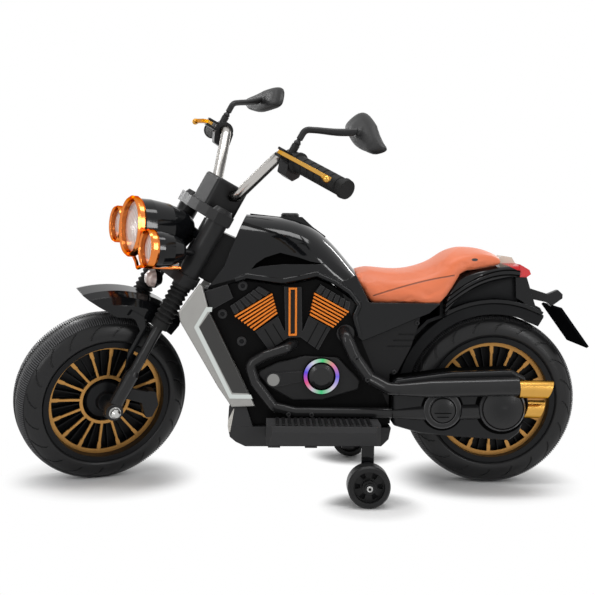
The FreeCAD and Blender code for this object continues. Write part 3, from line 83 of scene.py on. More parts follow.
# Places and outlines in side view, as distances forward and up
TANK_RECESS = [(0.305, 0.4), (0.47, 0.39), (0.43, 0.45), (0.36, 0.45)]
BELLY_LENS = [(0.481, 0.150), (0.4795, 0.150), (0.4865, 0.108), (0.500, 0.108)]
PANEL_INLAY = [(0.454, 0.180), (0.483, 0.181), (0.543, 0.298), (0.524, 0.326)]
# Outline of the dark tray below the tail, a sheet that stands in for the shade inside the tail
TAIL_SHADE_TRAY = [(0.096, 0.322), (0.080, 0.348), (0.050, 0.372), (0.010, 0.387), (-0.024, 0.393),
             (-0.040, 0.393), (-0.045, 0.345), (0.0, 0.350), (0.050, 0.342), (0.088, 0.322)]
BADGE = (0.410, 0.204)
CLUTCH = (0.324, 0.212)
HUB_COVER = (REAR_AXLE.x, REAR_AXLE.z)
SMALL_COVER = (0.107, 0.156)
ENGINE_BOSSES = ((0.503, 0.320), (0.468, 0.271), (0.467, 0.371))
SMALL_SCREWS = ((0.151, 0.308), (0.191, 0.218), (0.382, 0.144), (0.341, 0.144), (0.263, 0.246),
                (0.243, 0.209))
# Middle of each engine jug, and the cosine and sine of its lean
JUGS = (((0.4198, 0.2996), (0.846, -0.533)), ((0.3231, 0.3036), (0.89, 0.46)))

# Rounding of moulded edges, as far as a finish can show it
EDGE_RADIUS = 0.0014

# An edge that turns by more degrees than this stays sharp in the shading, and is bevelled
SHARP = 40

# Middle of the part's length, which the lamps face
MIDDLE_X = 0.35

# Half of a tyre's section, from the tread to the bead, as distances from its middle plane and its axle
TYRE_HALF = [(0.0, 0.1588), (0.006, 0.1587), (0.012, 0.1584), (0.017, 0.1578), (0.0215, 0.1568),
             (0.0265, 0.1548), (0.0315, 0.1513), (0.0355, 0.1468), (0.0385, 0.1412), (0.0405, 0.1345),
             (0.0413, 0.1285), (0.0411, 0.1235), (0.0395, 0.1205), (0.0368, 0.119), (0.0362, 0.1165),
             (0.02, 0.1163)]

# Colours round the light ring, from its rear end through the bottom, the front and the top
RING_HUES = ((0.0, (0.2, 0.15, 1.0)), (0.13, (0.85, 0.75, 0.9)), (0.25, (0.03, 0.75, 0.25)),
             (0.34, (0.75, 0.7, 0.8)), (0.43, (1.0, 0.1, 0.3)), (0.54, (0.12, 0.06, 1.0)),
             (0.66, (0.85, 0.85, 0.95)), (0.76, (0.04, 0.8, 0.25)), (0.87, (1.0, 0.3, 0.38)),
             (1.0, (0.2, 0.15, 1.0)))


# Settings

def number(name, default, description, **options):
    return FloatProperty(name=name, description=description, default=default, **options)


def metres(name, default, description):
    return number(name, default, description, unit="LENGTH", precision=5)


def angled(name, default, description):
    return number(name, default, description, subtype="ANGLE")


def count(name, default, description, least):
    return IntProperty(name=name, description=description, default=default, min=least)


def colour(name, default, description):
    return FloatVectorProperty(name=name, description=description, default=default, subtype="COLOR", size=3,
                               min=0.0, max=1.0)


class PaintSettings(bpy.types.PropertyGroup):
    """Colours of the finishes."""
    gloss_black: colour("Gloss black", (0.004, 0.0043, 0.005), "Painted tank, mudguards and tail")
    satin_black: colour("Satin black", (0.014, 0.014, 0.0145), "Moulded plastic of the fork and arms")
    # The engine's recess keeps this darker black as painted shade; the footboard treads use it too
    engine_black: colour("Engine black", (0.008, 0.008, 0.0085), "Moulded engine covers")
    # Lighter black painted on raised castings and on the outer parts of the cover domes, as where light
    # falls
    lit_black: colour("Lit black", (0.015, 0.015, 0.0155), "Raised castings of the engine")
    # Painted highlight along the sharp edges of the castings, the belly and the covers
    edge_highlight: colour("Edge highlight", (0.06, 0.06, 0.062), "Edges of the castings")
    belly_black: colour("Belly black", (0.03, 0.03, 0.031), "Belly pan and footboards")
    tyre_black: colour("Tyre black", (0.012, 0.012, 0.0125), "Moulded tyres")
    # Painted highlight on the ribs of the tyres' shoulders
    rib_highlight: colour("Rib highlight", (0.084, 0.084, 0.0875), "Lighter ribs of the tyres' shoulders")
    rubber: colour("Rubber", (0.01, 0.01, 0.01), "Grips and gaiters")
    steel: colour("Steel", (0.5, 0.5, 0.49), "Axles, bolts and bright screws")
    gold: colour("Wheel gold", (0.50, 0.26, 0.078), "Spokes and rings of the road wheels")
    plated_gold: colour("Plated gold", (0.60, 0.33, 0.075), "Exhaust tips and levers")
    plated_orange: colour("Plated orange", (0.72, 0.22, 0.055), "Lamp bezels and the bar below them")
    fin_orange: colour("Fin orange", (0.76, 0.21, 0.025), "Cooling fins of the engine")
    badge: colour("Badge", (0.3, 0.3, 0.29), "Round blank badge on the engine")
    silver: colour("Silver", (0.34, 0.335, 0.32), "Side panels")
    inlay: colour("Inlay", (0.02, 0.0195, 0.018), "Dark inlay of the side panels")
    seat: colour("Seat", (0.70, 0.165, 0.06), "Leatherette of the seat")


class StageSettings(bpy.types.PropertyGroup):
    """Camera and light."""
    camera_place: FloatVectorProperty(name="Camera place", description="Where the camera stands",
                                      default=(0.43215, 1.9021, 0.4954), size=3, subtype="TRANSLATION")
    camera_yaw: angled("Yaw", 0.035, "Turn away from square-on")
    camera_pitch: angled("Pitch", -0.079, "Tilt above the horizon")
    camera_roll: angled("Roll", 0.016, "Turn about the line of sight")
    lens: number("Lens", 61.36, "Focal length", subtype="DISTANCE_CAMERA")
    sky: number("Sky", 0.5, "Strength of the light from all round", min=0, max=1, subtype="FACTOR")
    key: number("Key", 13, "Power of the overhead strip", min=0, unit="POWER")
    fill: number("Fill", 7, "Power of each side strip", min=0, unit="POWER")


class TyreSettings(bpy.types.PropertyGroup):
    """Tread of the road tyres."""
    steps: count("Steps", 480, "Divisions round the tyre", 64)
    rib_height: metres("Rib height", 0.0016, "How far the shoulder ribs stand out")
    groove_depth: metres("Groove depth", 0.0016, "How deep the sidewall grooves are")
    groove_count: count("Grooves", 20, "Sidewall grooves on each side", 4)


class MirrorSettings(bpy.types.PropertyGroup):
    """Heads and stems of the mirrors."""
    voxel: metres("Voxel", 0.0014, "Size of the mesh that is shaped")
    rounds: count("Smoothing", 24, "Rounds of smoothing before the shaping", 0)
    stem: metres("Stem", 0.0022, "How much thicker the stems are made")
    widen: number("Widen", 1.3, "Growth of a head's height in its middle", min=1)
    narrow: number("Narrow", 0.62, "Share of its height that a tip keeps", min=0, max=1, subtype="FACTOR")
    reach: metres("Reach", 0.07, "How far the widening fades out")
    tip_share: number("Tip share", 0.8, "Share of that reach over which a tip is drawn in", min=0, max=1,
                      subtype="FACTOR")


class LeverSettings(bpy.types.PropertyGroup):
    """Ends of the brake levers."""
    ball: metres("Ball", 0.0062, "Radius of the ball at a lever's end")
    lift: metres("Lift", 0.0014, "How far a ball stands off the grip's side of its lever")


class SeatSettings(bpy.types.PropertyGroup):
    """Padding of the seat."""
    voxel: metres("Voxel", 0.0036, "Size of the mesh that is inflated")
    pressure: number("Pressure", 4.0, "Pressure inside the padding", min=0)
    most: metres("Most swell", 0.005, "The most that a point may move")


class LiningSettings(bpy.types.PropertyGroup):
    """Lining under the rear mudguard, and the dark tray under the tail that stands in for shade."""
    half_width: metres("Half width", 0.046, "Half of the lining's width")
    low: metres("Inner radius", 0.1618, "Distance of the lining's inside from the rear axle")
    high: metres("Outer radius", 0.181, "Distance of the lining's outside from the rear axle")
    start: angled("Start", 1.4, "Where the lining starts, forward of the top")
    span: angled("Span", 1.92, "How far the lining runs back")
    tray: metres("Tray half width", 0.036, "Half of the width of the tray below the tail")


class ScrewSettings(bpy.types.PropertyGroup):
    """Screw heads."""
    boss: metres("Boss radius", 0.0085, "Radius of the engine's screw bosses")
    head: metres("Head radius", 0.0042, "Radius of the small screw heads")
    axle: metres("Axle screw radius", 0.0052, "Radius of the screws in the stabilisers' axles")
    rise: metres("Rise", 0.0022, "How far a head stands out")


class WindowSettings(bpy.types.PropertyGroup):
    """Rings that close the windows of the stabiliser wheels."""
    inner: metres("Inner radius", 0.0125, "Radius of a ring's hole")
    outer: metres("Outer radius", 0.0272, "Radius of a ring's edge")
    half: metres("Half thickness", 0.001, "Half of a ring's thickness")


class BoardSettings(bpy.types.PropertyGroup):
    """Treads of the footboards."""
    ribs: count("Ribs", 16, "Cross ribs on each footboard", 2)
    rise: metres("Rise", 0.003, "Height of a rib")
    margin: metres("Margin", 0.014, "Bare length at each end")
    lip: metres("Lip", 0.007, "Bare width along the outer edge")
    inner: metres("Inner reach", 0.121, "Where the ribs start, from the middle of the part")


class MotorbikeSettings(bpy.types.PropertyGroup):
    """All settings of the dressing."""
    paint: PointerProperty(type=PaintSettings)
    stage: PointerProperty(type=StageSettings)
    tyre: PointerProperty(type=TyreSettings)
    mirror: PointerProperty(type=MirrorSettings)
    lever: PointerProperty(type=LeverSettings)
    seat: PointerProperty(type=SeatSettings)
    lining: PointerProperty(type=LiningSettings)
    screw: PointerProperty(type=ScrewSettings)
    board: PointerProperty(type=BoardSettings)
    window: PointerProperty(type=WindowSettings)


def settings():
    return bpy.context.scene.motorbike


# Shader nodes

def arithmetic(operation, turned=False):
    """A method of a wire for one operation, or for its reflected form."""
    def method(self, other=0.0):
        first, second = (other, self) if turned else (self, other)
        return self.nodes.node("ShaderNodeMath", {0: first, 1: second}, operation=operation)
    return method


class Wire:
    """A shader socket that takes part in sums."""

    def __init__(self, nodes, socket):
        self.nodes = nodes
        self.socket = socket

    __add__ = __radd__ = arithmetic("ADD")
    __sub__ = arithmetic("SUBTRACT")
    __rsub__ = arithmetic("SUBTRACT", turned=True)
    __mul__ = __rmul__ = arithmetic("MULTIPLY")
    __truediv__ = arithmetic("DIVIDE")
    __rtruediv__ = arithmetic("DIVIDE", turned=True)
    __mod__ = arithmetic("FLOORED_MODULO")
    __rmod__ = arithmetic("FLOORED_MODULO", turned=True)
    __gt__ = arithmetic("GREATER_THAN")
    __lt__ = arithmetic("LESS_THAN")
    __abs__ = arithmetic("ABSOLUTE")
    least = arithmetic("MINIMUM")
    most = arithmetic("MAXIMUM")

    def rising(self, low, high):
        """0 up to one value and 1 from another, with a soft step between."""
        return self.nodes.node("ShaderNodeMapRange", {0: self, 1: low, 2: high},
                               interpolation_type="SMOOTHSTEP")


class Nodes:
    """A shader node tree."""

    def __init__(self, owner):
        owner.use_nodes = True
        self.tree = owner.node_tree

    def node(self, kind, sockets=(), out=0, stops=(), **options):
        """Any shader node: its options first, then the values or links of its sockets."""
        made = self.tree.nodes.new(kind)
        for option, value in options.items():
            setattr(made, option, value)
        for index, (where, value) in enumerate(stops):
            elements = made.color_ramp.elements
            element = elements[index] if index < 2 else elements.new(where)
            element.position = where
            element.color = (*value, 1)
        for socket, value in dict(sockets).items():
            self.link(made.inputs[socket], value)
        return Wire(self, made.outputs[out])

    def link(self, target, value):
        if isinstance(value, Wire):
            self.tree.links.new(value.socket, target)
        else:
            target.default_value = value

    def seen(self):
        """1 for rays that show a surface as itself: to the camera, in a mirror or through glass."""
        camera, glossy, through = [self.node("ShaderNodeLightPath", out=name) for name in (
            "Is Camera Ray", "Is Glossy Ray", "Is Transmission Ray")]
        return camera.most(glossy).most(through)


class Finish(Nodes):
    """A procedural material: one shader and the nodes that vary it over the surface."""

    def __init__(self, name, color, roughness, **constants):
        self.material = bpy.data.materials.new(name)
        super().__init__(self.material)
        self.shader = self.tree.nodes["Principled BSDF"]
        self.color = tuple(color)
        self.rough = roughness
        self.set("Base Color", (*self.color, 1))
        self.set("Roughness", roughness)
        for socket, value in constants.items():
            self.set(socket.replace("_", " "), value)

    def set(self, socket, value):
        self.link(self.shader.inputs[socket], value)

    def place(self, frame_matrix=None):
        """Object coordinates, or the same ones seen in another frame."""
        where = self.node("ShaderNodeTexCoord", out="Object")
        if frame_matrix is None:
            return where
        back = frame_matrix.inverted()
        return self.node("ShaderNodeMapping", {"Vector": where, "Location": back.translation,
                                               "Rotation": back.to_euler()})

    def axes(self, where):
        split = self.node("ShaderNodeSeparateXYZ", {0: where})
        return [Wire(self, socket) for socket in split.socket.node.outputs]

    def noise(self, size, detail=3.0, where=None):
        where = where or self.place()
        return self.node("ShaderNodeTexNoise", {"Vector": where, "Scale": 1 / size, "Detail": detail})

    def distance(self, across, along, place):
        """Distance from a place in side view."""
        offset = self.node("ShaderNodeCombineXYZ", {0: across - place[0], 1: along - place[1]})
        return self.node("ShaderNodeVectorMath", {0: offset}, out="Value", operation="LENGTH")

    def blend(self, mask, first, second):
        """Two colours mixed by a mask."""
        first, second = [value if isinstance(value, Wire) else (*value[:3], 1) for value in (first, second)]
        return self.node("ShaderNodeMix", {0: mask, 6: first, 7: second}, out=2, data_type="RGBA")

    def inside(self, across, along, corners):
        """1 within a convex outline whose corners run anticlockwise."""
        mask = 1.0
        for (x, z), (next_x, next_z) in zip(corners, corners[1:] + corners[:1]):
            mask = ((along - z) * (next_x - x) - (across - x) * (next_z - z) > 0.0) * mask
        return mask

    def shades(self, low, high):
        """The base colour, darker and lighter."""
        return tuple(c * low for c in self.color), tuple(min(1, c * high) for c in self.color)

    def mottled(self, size=0.03, low=0.85, high=1.2):
        self.set("Base Color", self.blend(self.noise(size), *self.shades(low, high)))
        return self

    def worn(self, size=0.02, spread=0.1):
        """Roughness that wanders with handling."""
        self.set("Roughness", self.noise(size, 4.0) * (2 * spread) + (self.rough - spread))
        return self

    def relief(self, height, distance):
        """Relief over edges that are slightly rounded, as moulded ones are."""
        edges = self.node("ShaderNodeBevel", {"Radius": EDGE_RADIUS}, samples=4)
        self.set("Normal", self.node("ShaderNodeBump", {"Height": height, "Distance": distance,
                                                        "Normal": edges}, out="Normal"))
        return self

    def edges(self, radius):
        """1 along sharp edges, where a lighter highlight is painted."""
        rounded = self.node("ShaderNodeBevel", {"Radius": radius}, samples=6)
        plain = self.node("ShaderNodeNewGeometry", out="Normal")
        alike = self.node("ShaderNodeVectorMath", {0: rounded, 1: plain}, out="Value",
                          operation="DOT_PRODUCT")
        return 1.0 - alike.rising(0.75, 0.98)

    def grained(self, size, distance):
        return self.relief(self.noise(size, 2.0), distance)

    def dulled(self, mask, shade=0.003):
        """Matte black where a mask is 1: painted shade in recesses, grooves and gaps, or the dark of unlit
        parts.
        """
        matte = self.node("ShaderNodeBsdfDiffuse", {"Color": (shade, shade, shade, 1)})
        return self.covered(mask, matte)

    def covered(self, mask, shader):
        """Another shader where a mask is 1."""
        both = self.node("ShaderNodeMixShader", {0: mask, 1: Wire(self, self.shader.outputs[0]), 2: shader})
        self.link(self.tree.nodes["Material Output"].inputs["Surface"], both)
        return self


def moulded(name, color, roughness, grain=0.0007, depth=0.00005, **constants):
    """Moulded plastic with a fine spark-eroded grain."""
    made = Finish(name, color, roughness, **{"Specular_IOR_Level": 0.18, **constants})
    return made.mottled(0.04).worn(0.03, 0.05).grained(grain, depth)


def painted(name, color, roughness=0.1, **constants):
    """Gloss paint or polished plastic with a faint waviness and handling haze."""
    made = Finish(name, color, roughness, **{"Specular_IOR_Level": 0.2, "Coat_Weight": 0.12,
                                             "Coat_Roughness": 0.03, **constants})
    return made.mottled(0.05, 0.9, 1.12).worn(0.025, 0.03).grained(0.012, 0.00005)


def plated(name, color, roughness, **constants):
    """Bright plating over moulded plastic, with handling haze."""
    made = Finish(name, color, roughness, **{"Metallic": 1.0, "Specular_Tint": (*color, 1), **constants})
    return made.mottled(0.02, 0.92, 1.06).worn(0.012, 0.05).grained(0.006, 0.00002)


# Modelling helpers

def deselect():
    bpy.ops.object.select_all(action="DESELECT")


def begin(name):
    """The primitive that was just added, under its own name."""
    made = bpy.context.active_object
    made.name = name
    made.data.name = name
    return made


def only(piece):
    deselect()
    piece.select_set(True)
    bpy.context.view_layer.objects.active = piece


class Editing:
    """Edit mode on one piece, with its bmesh for picking faces by place."""

    def __init__(self, piece, mode="FACE"):
        self.piece = piece
        self.mode = mode

    def __enter__(self):
        only(self.piece)
        bpy.ops.object.mode_set(mode="EDIT")
        bpy.ops.mesh.select_mode(type=self.mode)
        return self

    def __exit__(self, *_):
        bpy.ops.object.mode_set(mode="OBJECT")

    def pick(self, test):
        """Select the faces or points that a test names."""
        bpy.ops.mesh.select_all(action="DESELECT")
        shape = bmesh.from_edit_mesh(self.piece.data)
        for row in shape.faces if self.mode == "FACE" else shape.verts:
            if test(row):
                row.select = True
        shape.select_flush_mode()
        bmesh.update_edit_mesh(self.piece.data)

    def mark(self):
        """Give the selected faces the piece's second finish."""
        for face in bmesh.from_edit_mesh(self.piece.data).faces:
            if face.select:
                face.material_index = 1


def traced(name, points):
    """A line through points, drawn by extruding one corner of a plane."""
    deselect()
    bpy.ops.mesh.primitive_plane_add(size=0.001, location=points[0])
    line = begin(name)
    with Editing(line, "VERT"):
        bpy.ops.mesh.select_all(action="SELECT")
        bpy.ops.mesh.merge(type="CENTER")
        for here, there in zip(points, points[1:]):
            step = Vector(there) - Vector(here)
            bpy.ops.mesh.extrude_region_move(TRANSFORM_OT_translate={"value": step})
    return line


def weld():
    bpy.ops.mesh.select_all(action="SELECT")
    bpy.ops.mesh.remove_doubles(threshold=1e-6)
    bpy.ops.mesh.normals_make_consistent(inside=False)


def spun(name, points, steps, angle=2 * math.pi):
    """A closed section turned about the Y axis, with its ends closed."""
    ring = settle(traced(name, points))
    with Editing(ring, "VERT"):
        bpy.ops.mesh.select_all(action="SELECT")
        bpy.ops.mesh.spin(steps=steps, angle=angle, center=(0, 0, 0), axis=(0, 1, 0))
        weld()
        bpy.ops.mesh.fill_holes(sides=0)
        weld()
    return ring


def plate(name, corners, low, high):
    """A plate with a side-view outline, between two distances left of the middle."""
    made = settle(traced(name, [(x, low, z) for x, z in corners + corners[:1]]))
    with Editing(made, "VERT"):
        weld()
        bpy.ops.mesh.edge_face_add()
        bpy.ops.mesh.extrude_region_move(TRANSFORM_OT_translate={"value": (0, high - low, 0)})
        weld()
    return made


def bevelled(piece, width):
    return modify(piece, "BEVEL", width=width, segments=2, limit_method="ANGLE",
                  angle_limit=math.radians(SHARP))


def surface(x, out, z):
    """The outermost point of the model at a place on one side."""
    clear_of_all = 0.4
    found, place, *_ = bpy.context.scene.ray_cast(
        bpy.context.evaluated_depsgraph_get(), Vector((x, out * clear_of_all, z)), Vector((0, -out, 0)))
    if not found:
        raise RuntimeError(f"nothing to sit on at {x}, {z}")
    return place


def mean(points):
    points = [Vector(point) for point in points]
    return sum(points, Vector()) / len(points)


def middle(node):
    """The middle of a node's box."""
    return mean(node.bound_box)


def settle(piece, matrix=None):
    """Move a piece by a matrix and leave its object at the origin."""
    if matrix is not None:
        piece.matrix_world = matrix @ piece.matrix_world
    only(piece)
    bpy.ops.object.transform_apply(location=True, rotation=True, scale=True)
    return piece


def smooth(piece, angle=SHARP):
    only(piece)
    bpy.ops.object.shade_smooth_by_angle(angle=math.radians(angle))


def modify(piece, kind, **options):
    """Add a modifier with its options and apply it."""
    added = piece.modifiers.new(kind.title(), kind)
    for option, value in options.items():
        setattr(added, option, value)
    only(piece)
    bpy.ops.object.modifier_apply(modifier=added.name)
    return piece


def twin(piece, name):
    """A copy with its own mesh."""
    copy = piece.copy()
    copy.data = piece.data.copy()
    copy.name = name
    copy.data.name = name
    bpy.context.scene.collection.objects.link(copy)
    return copy


def remeshed(node, name, voxel, rounds, turn=None):
    """An even, smoothed copy of a CAD node's mesh, moved by a matrix first."""
    copy = twin(node, name)
    copy.parent = None
    for key in [key for key in copy.keys() if key.startswith("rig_")]:
        del copy[key]
    settle(copy, turn)
    with Editing(copy, "VERT"):
        bpy.ops.mesh.select_all(action="SELECT")
        bpy.ops.mesh.remove_doubles(threshold=1e-5)
    modify(copy, "REMESH", mode="VOXEL", voxel_size=voxel)
    return modify(copy, "SMOOTH", factor=0.5, iterations=rounds)


def dress(piece, *materials):
    """Give a piece its finishes, and keep the marks of a new piece, which clearing would take away."""
    if len(piece.data.materials):
        piece.data.materials.clear()
    for material in materials:
        piece.data.materials.append(material)


def fitted(piece, materials, body, *replaced, slot):
    """Finish a new piece, put it on its body and let it stand for CAD nodes."""
    dress(piece, *materials)
    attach(piece, body)
    if replaced:
        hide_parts(*replaced)


# Operators

class MOTORBIKE_OT_paint(bpy.types.Operator):
    """Give every node of the frame its own detailed finish"""
    bl_idname = "motorbike.paint"
    bl_label = "Paint the frame"

    def execute(self, context):
        paint = settings().paint
        gloss = painted("gloss_black", paint.gloss_black, 0.09)
        pipe = painted("pipe_black", paint.satin_black, 0.2)
        satin = moulded("satin_black", paint.satin_black, 0.36)
        dark = moulded("core_black", paint.gloss_black, 0.5)
        rim = moulded("rim_black", paint.gloss_black, 0.42, grain=0.002, depth=0.00003)
        rubber = moulded("grip_rubber", paint.rubber, 0.6, grain=0.0012, depth=0.0001)
        gold = plated("wheel_gold", paint.gold, 0.36, Metallic=0.55)
        plated_gold = plated("plated_gold", paint.plated_gold, 0.24)
        plated_orange = plated("plated_orange", paint.plated_orange, 0.16)
        fins = moulded("fin_orange", paint.fin_orange, 0.36, grain=0.0012, depth=0.00004, Metallic=0.25)
        steel = plated("bolt_steel", paint.steel, 0.26)
        rows = {
            gloss: ["front_fender", "rear_fender", "tank_console", "stabiliser_struts", "lamp_shells"],
            pipe: ["header_pipes", "fork_sliders"],
            self.covers(): ["round_covers"],
            satin: ["fork_tubes", "handlebar_box", "lever_perches", "brake_caliper", "head_tube", "fuel_cap",
                    "plate_bracket", "stabiliser_wheel_left", "stabiliser_wheel_right", "charge_socket",
                    "gear_motor", "battery", "steering_stem"],
            dark: ["main_core"],
            self.arm(): ["swingarm_left", "swingarm_right"],
            moulded("plate_black", paint.gloss_black, 0.7, Specular_IOR_Level=0.0): ["number_plate"],
            self.tank(): ["tank_shell_left", "tank_shell_right"],
            self.belly(): ["belly_pan", "footboards"],
            self.engine(): ["engine_cover_left", "engine_cover_right"],
            self.mirror(): ["mirror_left", "mirror_right"],
            self.tail(): ["tail_cowl"],
            rim: ["front_rim", "rear_rim", "front_tyre", "rear_tyre"],
            rubber: ["fork_gaiters", "grip_left", "grip_right"],
            gold: ["front_trim", "rear_trim"],
            plated_gold: ["exhaust_tips", "brake_lever_left", "brake_lever_right"],
            plated_orange: ["lamp_bezels", "horn_button"],
            fins: ["engine_trim"],
            self.chrome(): ["handlebar"],
            steel: ["front_axle", "rear_axle", "steering_bushes", "drive_gear"],
            self.panel(): ["side_panel_left", "side_panel_right"],
            self.light_guide(): ["light_guides"],
            self.lens(): ["lamp_lenses"],
            self.tail_lens(): ["tail_light"],
        }
        for finish, names in rows.items():
            for name in names:
                dress(NODES[name], finish.material)
        left_out = set(NODES) - {"seat_cushion"}.union(*rows.values())
        if left_out:
            raise RuntimeError(f"no finish for {sorted(left_out)}")
        return {"FINISHED"}

    def tank(self):
        """Gloss black, with the recess below the shoulder painted matte black as shade."""
        made = painted("tank_black", settings().paint.gloss_black, 0.09)
        x, y, z = made.axes(made.place())
        recess_floor, shoulder, inner_face = 0.0872, 0.0905, 0.083
        # Painted shade: the recess below the shoulder is matte black
        shaded_recess = (1.0 - abs(y).rising(recess_floor, shoulder)) * (abs(y) > inner_face)
        return made.dulled(shaded_recess * made.inside(x, z, TANK_RECESS))

    def belly(self):
        """Grey-black belly with a pale lens on its front edge and a painted highlight along its sharp edges.
        """
        paint = settings().paint
        made = moulded("belly_black", paint.belly_black, 0.5, grain=0.001, depth=0.00008)
        x, _, z = made.axes(made.place())
        lens, lens_color = made.inside(x, z, BELLY_LENS), (0.55, 0.53, 0.49)
        # Painted highlight: sharp edges are lighter, as where light catches them
        edge_lit = made.blend(made.edges(0.002), made.color, paint.edge_highlight)
        made.set("Base Color", made.blend(lens, edge_lit, lens_color))
        return made

    def engine(self):
        """Raised castings painted a lighter black as lit, over a recess painted darker and matte as shade,
        with painted highlights on their edges, dark lines on the jugs and a blank pale badge.
        """
        paint = settings().paint
        made = moulded("engine_black", paint.engine_black, 0.36, grain=0.001, depth=0.00008)
        x, y, z = made.axes(made.place())
        badge_radius, badge_face = 0.011, 0.1
        badge = (made.distance(x, z, BADGE) < badge_radius) * (abs(y) > badge_face)
        recess_face, casting_face = 0.0855, 0.094
        # Painted shade and light: the recess keeps the darker black and the raised castings get the lighter
        # one
        raised = abs(y).rising(recess_face, casting_face)
        jug_half, jug_length, line_offset = 0.02, 0.045, 0.0085
        lines = 0.0
        for (middle_x, middle_z), (lean, tilt) in JUGS:
            across = abs((x - middle_x) * lean + (z - middle_z) * tilt)
            along = (z - middle_z) * lean - (x - middle_x) * tilt
            line = 1.0 - abs(across - line_offset).rising(0.0004, 0.0012)
            lines = line * (across < jug_half) * (along < 0.0) * (along > -jug_length) + lines
        lit_and_shaded = made.blend(raised, made.color, paint.lit_black)
        # Painted highlight along the castings' sharp edges
        edge_lit = made.blend(made.edges(0.0025) * raised, lit_and_shaded, paint.edge_highlight)
        made.set("Base Color", made.blend(badge, edge_lit, paint.badge))
        # Painted shade: most of the recess, ahead of a slanted line, is matte black
        recess_lean, recess_start, recess_shade = 0.427, 0.134, 0.75
        ahead = x - z * recess_lean > recess_start
        return made.dulled(((1.0 - raised) * ahead * recess_shade).most(lines))

    def panel(self):
        """Satin silver round a dark inlay."""
        paint = settings().paint
        metal = 0.5
        made = Finish("panel_silver", paint.silver, 0.36, Metallic=metal)
        x, _, z = made.axes(made.place())
        inlay = made.inside(x, z, PANEL_INLAY)
        silver = made.blend(made.noise(0.02), *made.shades(0.94, 1.05))
        made.set("Base Color", made.blend(inlay, silver, paint.inlay))
        made.set("Metallic", metal - inlay * metal)
        return made.worn(size=0.012, spread=0.04).grained(size=0.0008, distance=0.00002)

    def mirror(self):
        """Black housing and stem, with bright glass on the side that faces the rider."""
        made = Finish("mirror_black", settings().paint.satin_black, 0.4, Specular_IOR_Level=0.25)
        forward, _, _ = made.axes(made.place(FORK))
        glass_face, glass_roughness, glass_color = -0.1007, 0.03, (0.6, 0.62, 0.63)
        glass = forward < glass_face
        made.set("Base Color", made.blend(glass, made.color, glass_color))
        made.set("Metallic", glass)
        made.set("Roughness", made.rough - glass * (made.rough - glass_roughness))
        return made

    def chrome(self):
        """Bright bar with painted dark reflections, in streaks along its rising ends."""
        made = plated("bar_chrome", (0.46, 0.445, 0.425), 0.2, Specular_Tint=(0.2, 0.2, 0.2, 1))
        ahead, across, up = made.axes(made.place(FORK))
        end_cosine, end_sine = 0.57, 0.82
        from_end = abs(across) * end_sine - up * end_cosine
        along_end = abs(across) * 0.03 + up * 0.04
        where = made.node("ShaderNodeCombineXYZ", {0: ahead, 1: from_end, 2: along_end})
        # Painted reflection: dark streaks stand in for dark surroundings mirrored in the bar
        painted_reflections = made.noise(0.009, 2.0, where).rising(0.4, 0.62)
        made.set("Base Color", made.blend(painted_reflections, *made.shades(0.28, 1.1)))
        return made

    def arm(self):
        """Moulded black, painted matte black as shade in the gaps round the covers and on its inner faces.
        """
        made = moulded("arm_black", settings().paint.gloss_black, 0.3, Specular_IOR_Level=0.25)
        x, y, z = made.axes(made.place())
        from_hub, from_small = [made.distance(x, z, place) for place in (HUB_COVER, SMALL_COVER)]
        hub_gap, small_gap, inner_face = 0.048, 0.0385, 0.1
        # Painted shade in the gaps round the covers and on the faces towards the middle
        return made.dulled((from_hub < hub_gap).most(from_small < small_gap).most(abs(y) < inner_face))

    def covers(self):
        """Domed round covers with a ring inside the edge and two lines across the small one; each dome is
        painted lighter towards its edge as shading, the edges carry painted highlights, and the ring and
        lines are painted matte black as shade.
        """
        paint = settings().paint
        made = Finish("cover_black", paint.gloss_black, 0.24, Specular_IOR_Level=0.3)
        x, _, z = made.axes(made.place())
        from_hub, from_small = [made.distance(x, z, place) for place in (HUB_COVER, SMALL_COVER)]
        hub_dome, hub_ring, hub_edge = 0.037, 0.0365, 0.0398
        small_dome, small_ring, small_edge, outer_edge = 0.0225, 0.0225, 0.0245, 0.0333
        share = (from_hub / hub_dome).least(from_small / small_dome)
        ring = 1.0 - abs(from_hub - hub_ring).least(abs(from_small - small_ring)).rising(0.0004, 0.0014)
        lines_level, line_offset, lines_reach = 0.1475, 0.0035, 0.016
        below = abs(abs(lines_level - z) - line_offset)
        cut = (1.0 - below.rising(0.0003, 0.001)) * (from_small < lines_reach)
        from_edge = abs(from_hub - hub_edge).least(abs(from_small - small_edge)).least(
            abs(from_small - outer_edge))
        # Painted shading: each dome is lighter towards its edge, as light falls on a dome
        face = made.blend(share.rising(0.2, 1.0), made.color, paint.lit_black)
        # Painted highlight along the edges of the covers
        made.set("Base Color", made.blend(1.0 - from_edge.rising(0.0007, 0.0018), face, paint.edge_highlight))
        made.set("Roughness", made.noise(0.02, 4.0) * 0.08 + 0.2)
        dome = 1.0 - share * share * (share < 1.0)
        # Painted shade: the sunk ring and lines are matte black
        return made.relief(dome - ring.most(cut) * 0.35, 0.004).dulled(ring.most(cut))

    def tail(self):
        """Gloss black with four moulded lines along each flank, their grooves painted matte black as shade,
        and a red lens over its end.
        """
        made = painted("tail_black", settings().paint.gloss_black, 0.12)
        x, _, z = made.axes(made.place())
        lens_start, lens_slope, lens_level, red = -0.012, 0.45, 0.4215, (0.5, 0.008, 0.012)
        lens = (x < lens_start) * (z - x * lens_slope > lens_level)
        made.set("Base Color", made.blend(lens, made.color, red))
        flank_top = 0.407 - x * 0.147 - x * x * 3.65
        below = flank_top - z
        step, lines = 0.0085, 4
        line = abs(below % step - step / 2).rising(0.0008, 0.0018)
        groove = (1.0 - line) * (below > 0.0) * (below < lines * step)
        # Painted shade: the grooves between the lines are matte black
        return made.relief(1.0 - groove, 0.0018).dulled(groove)

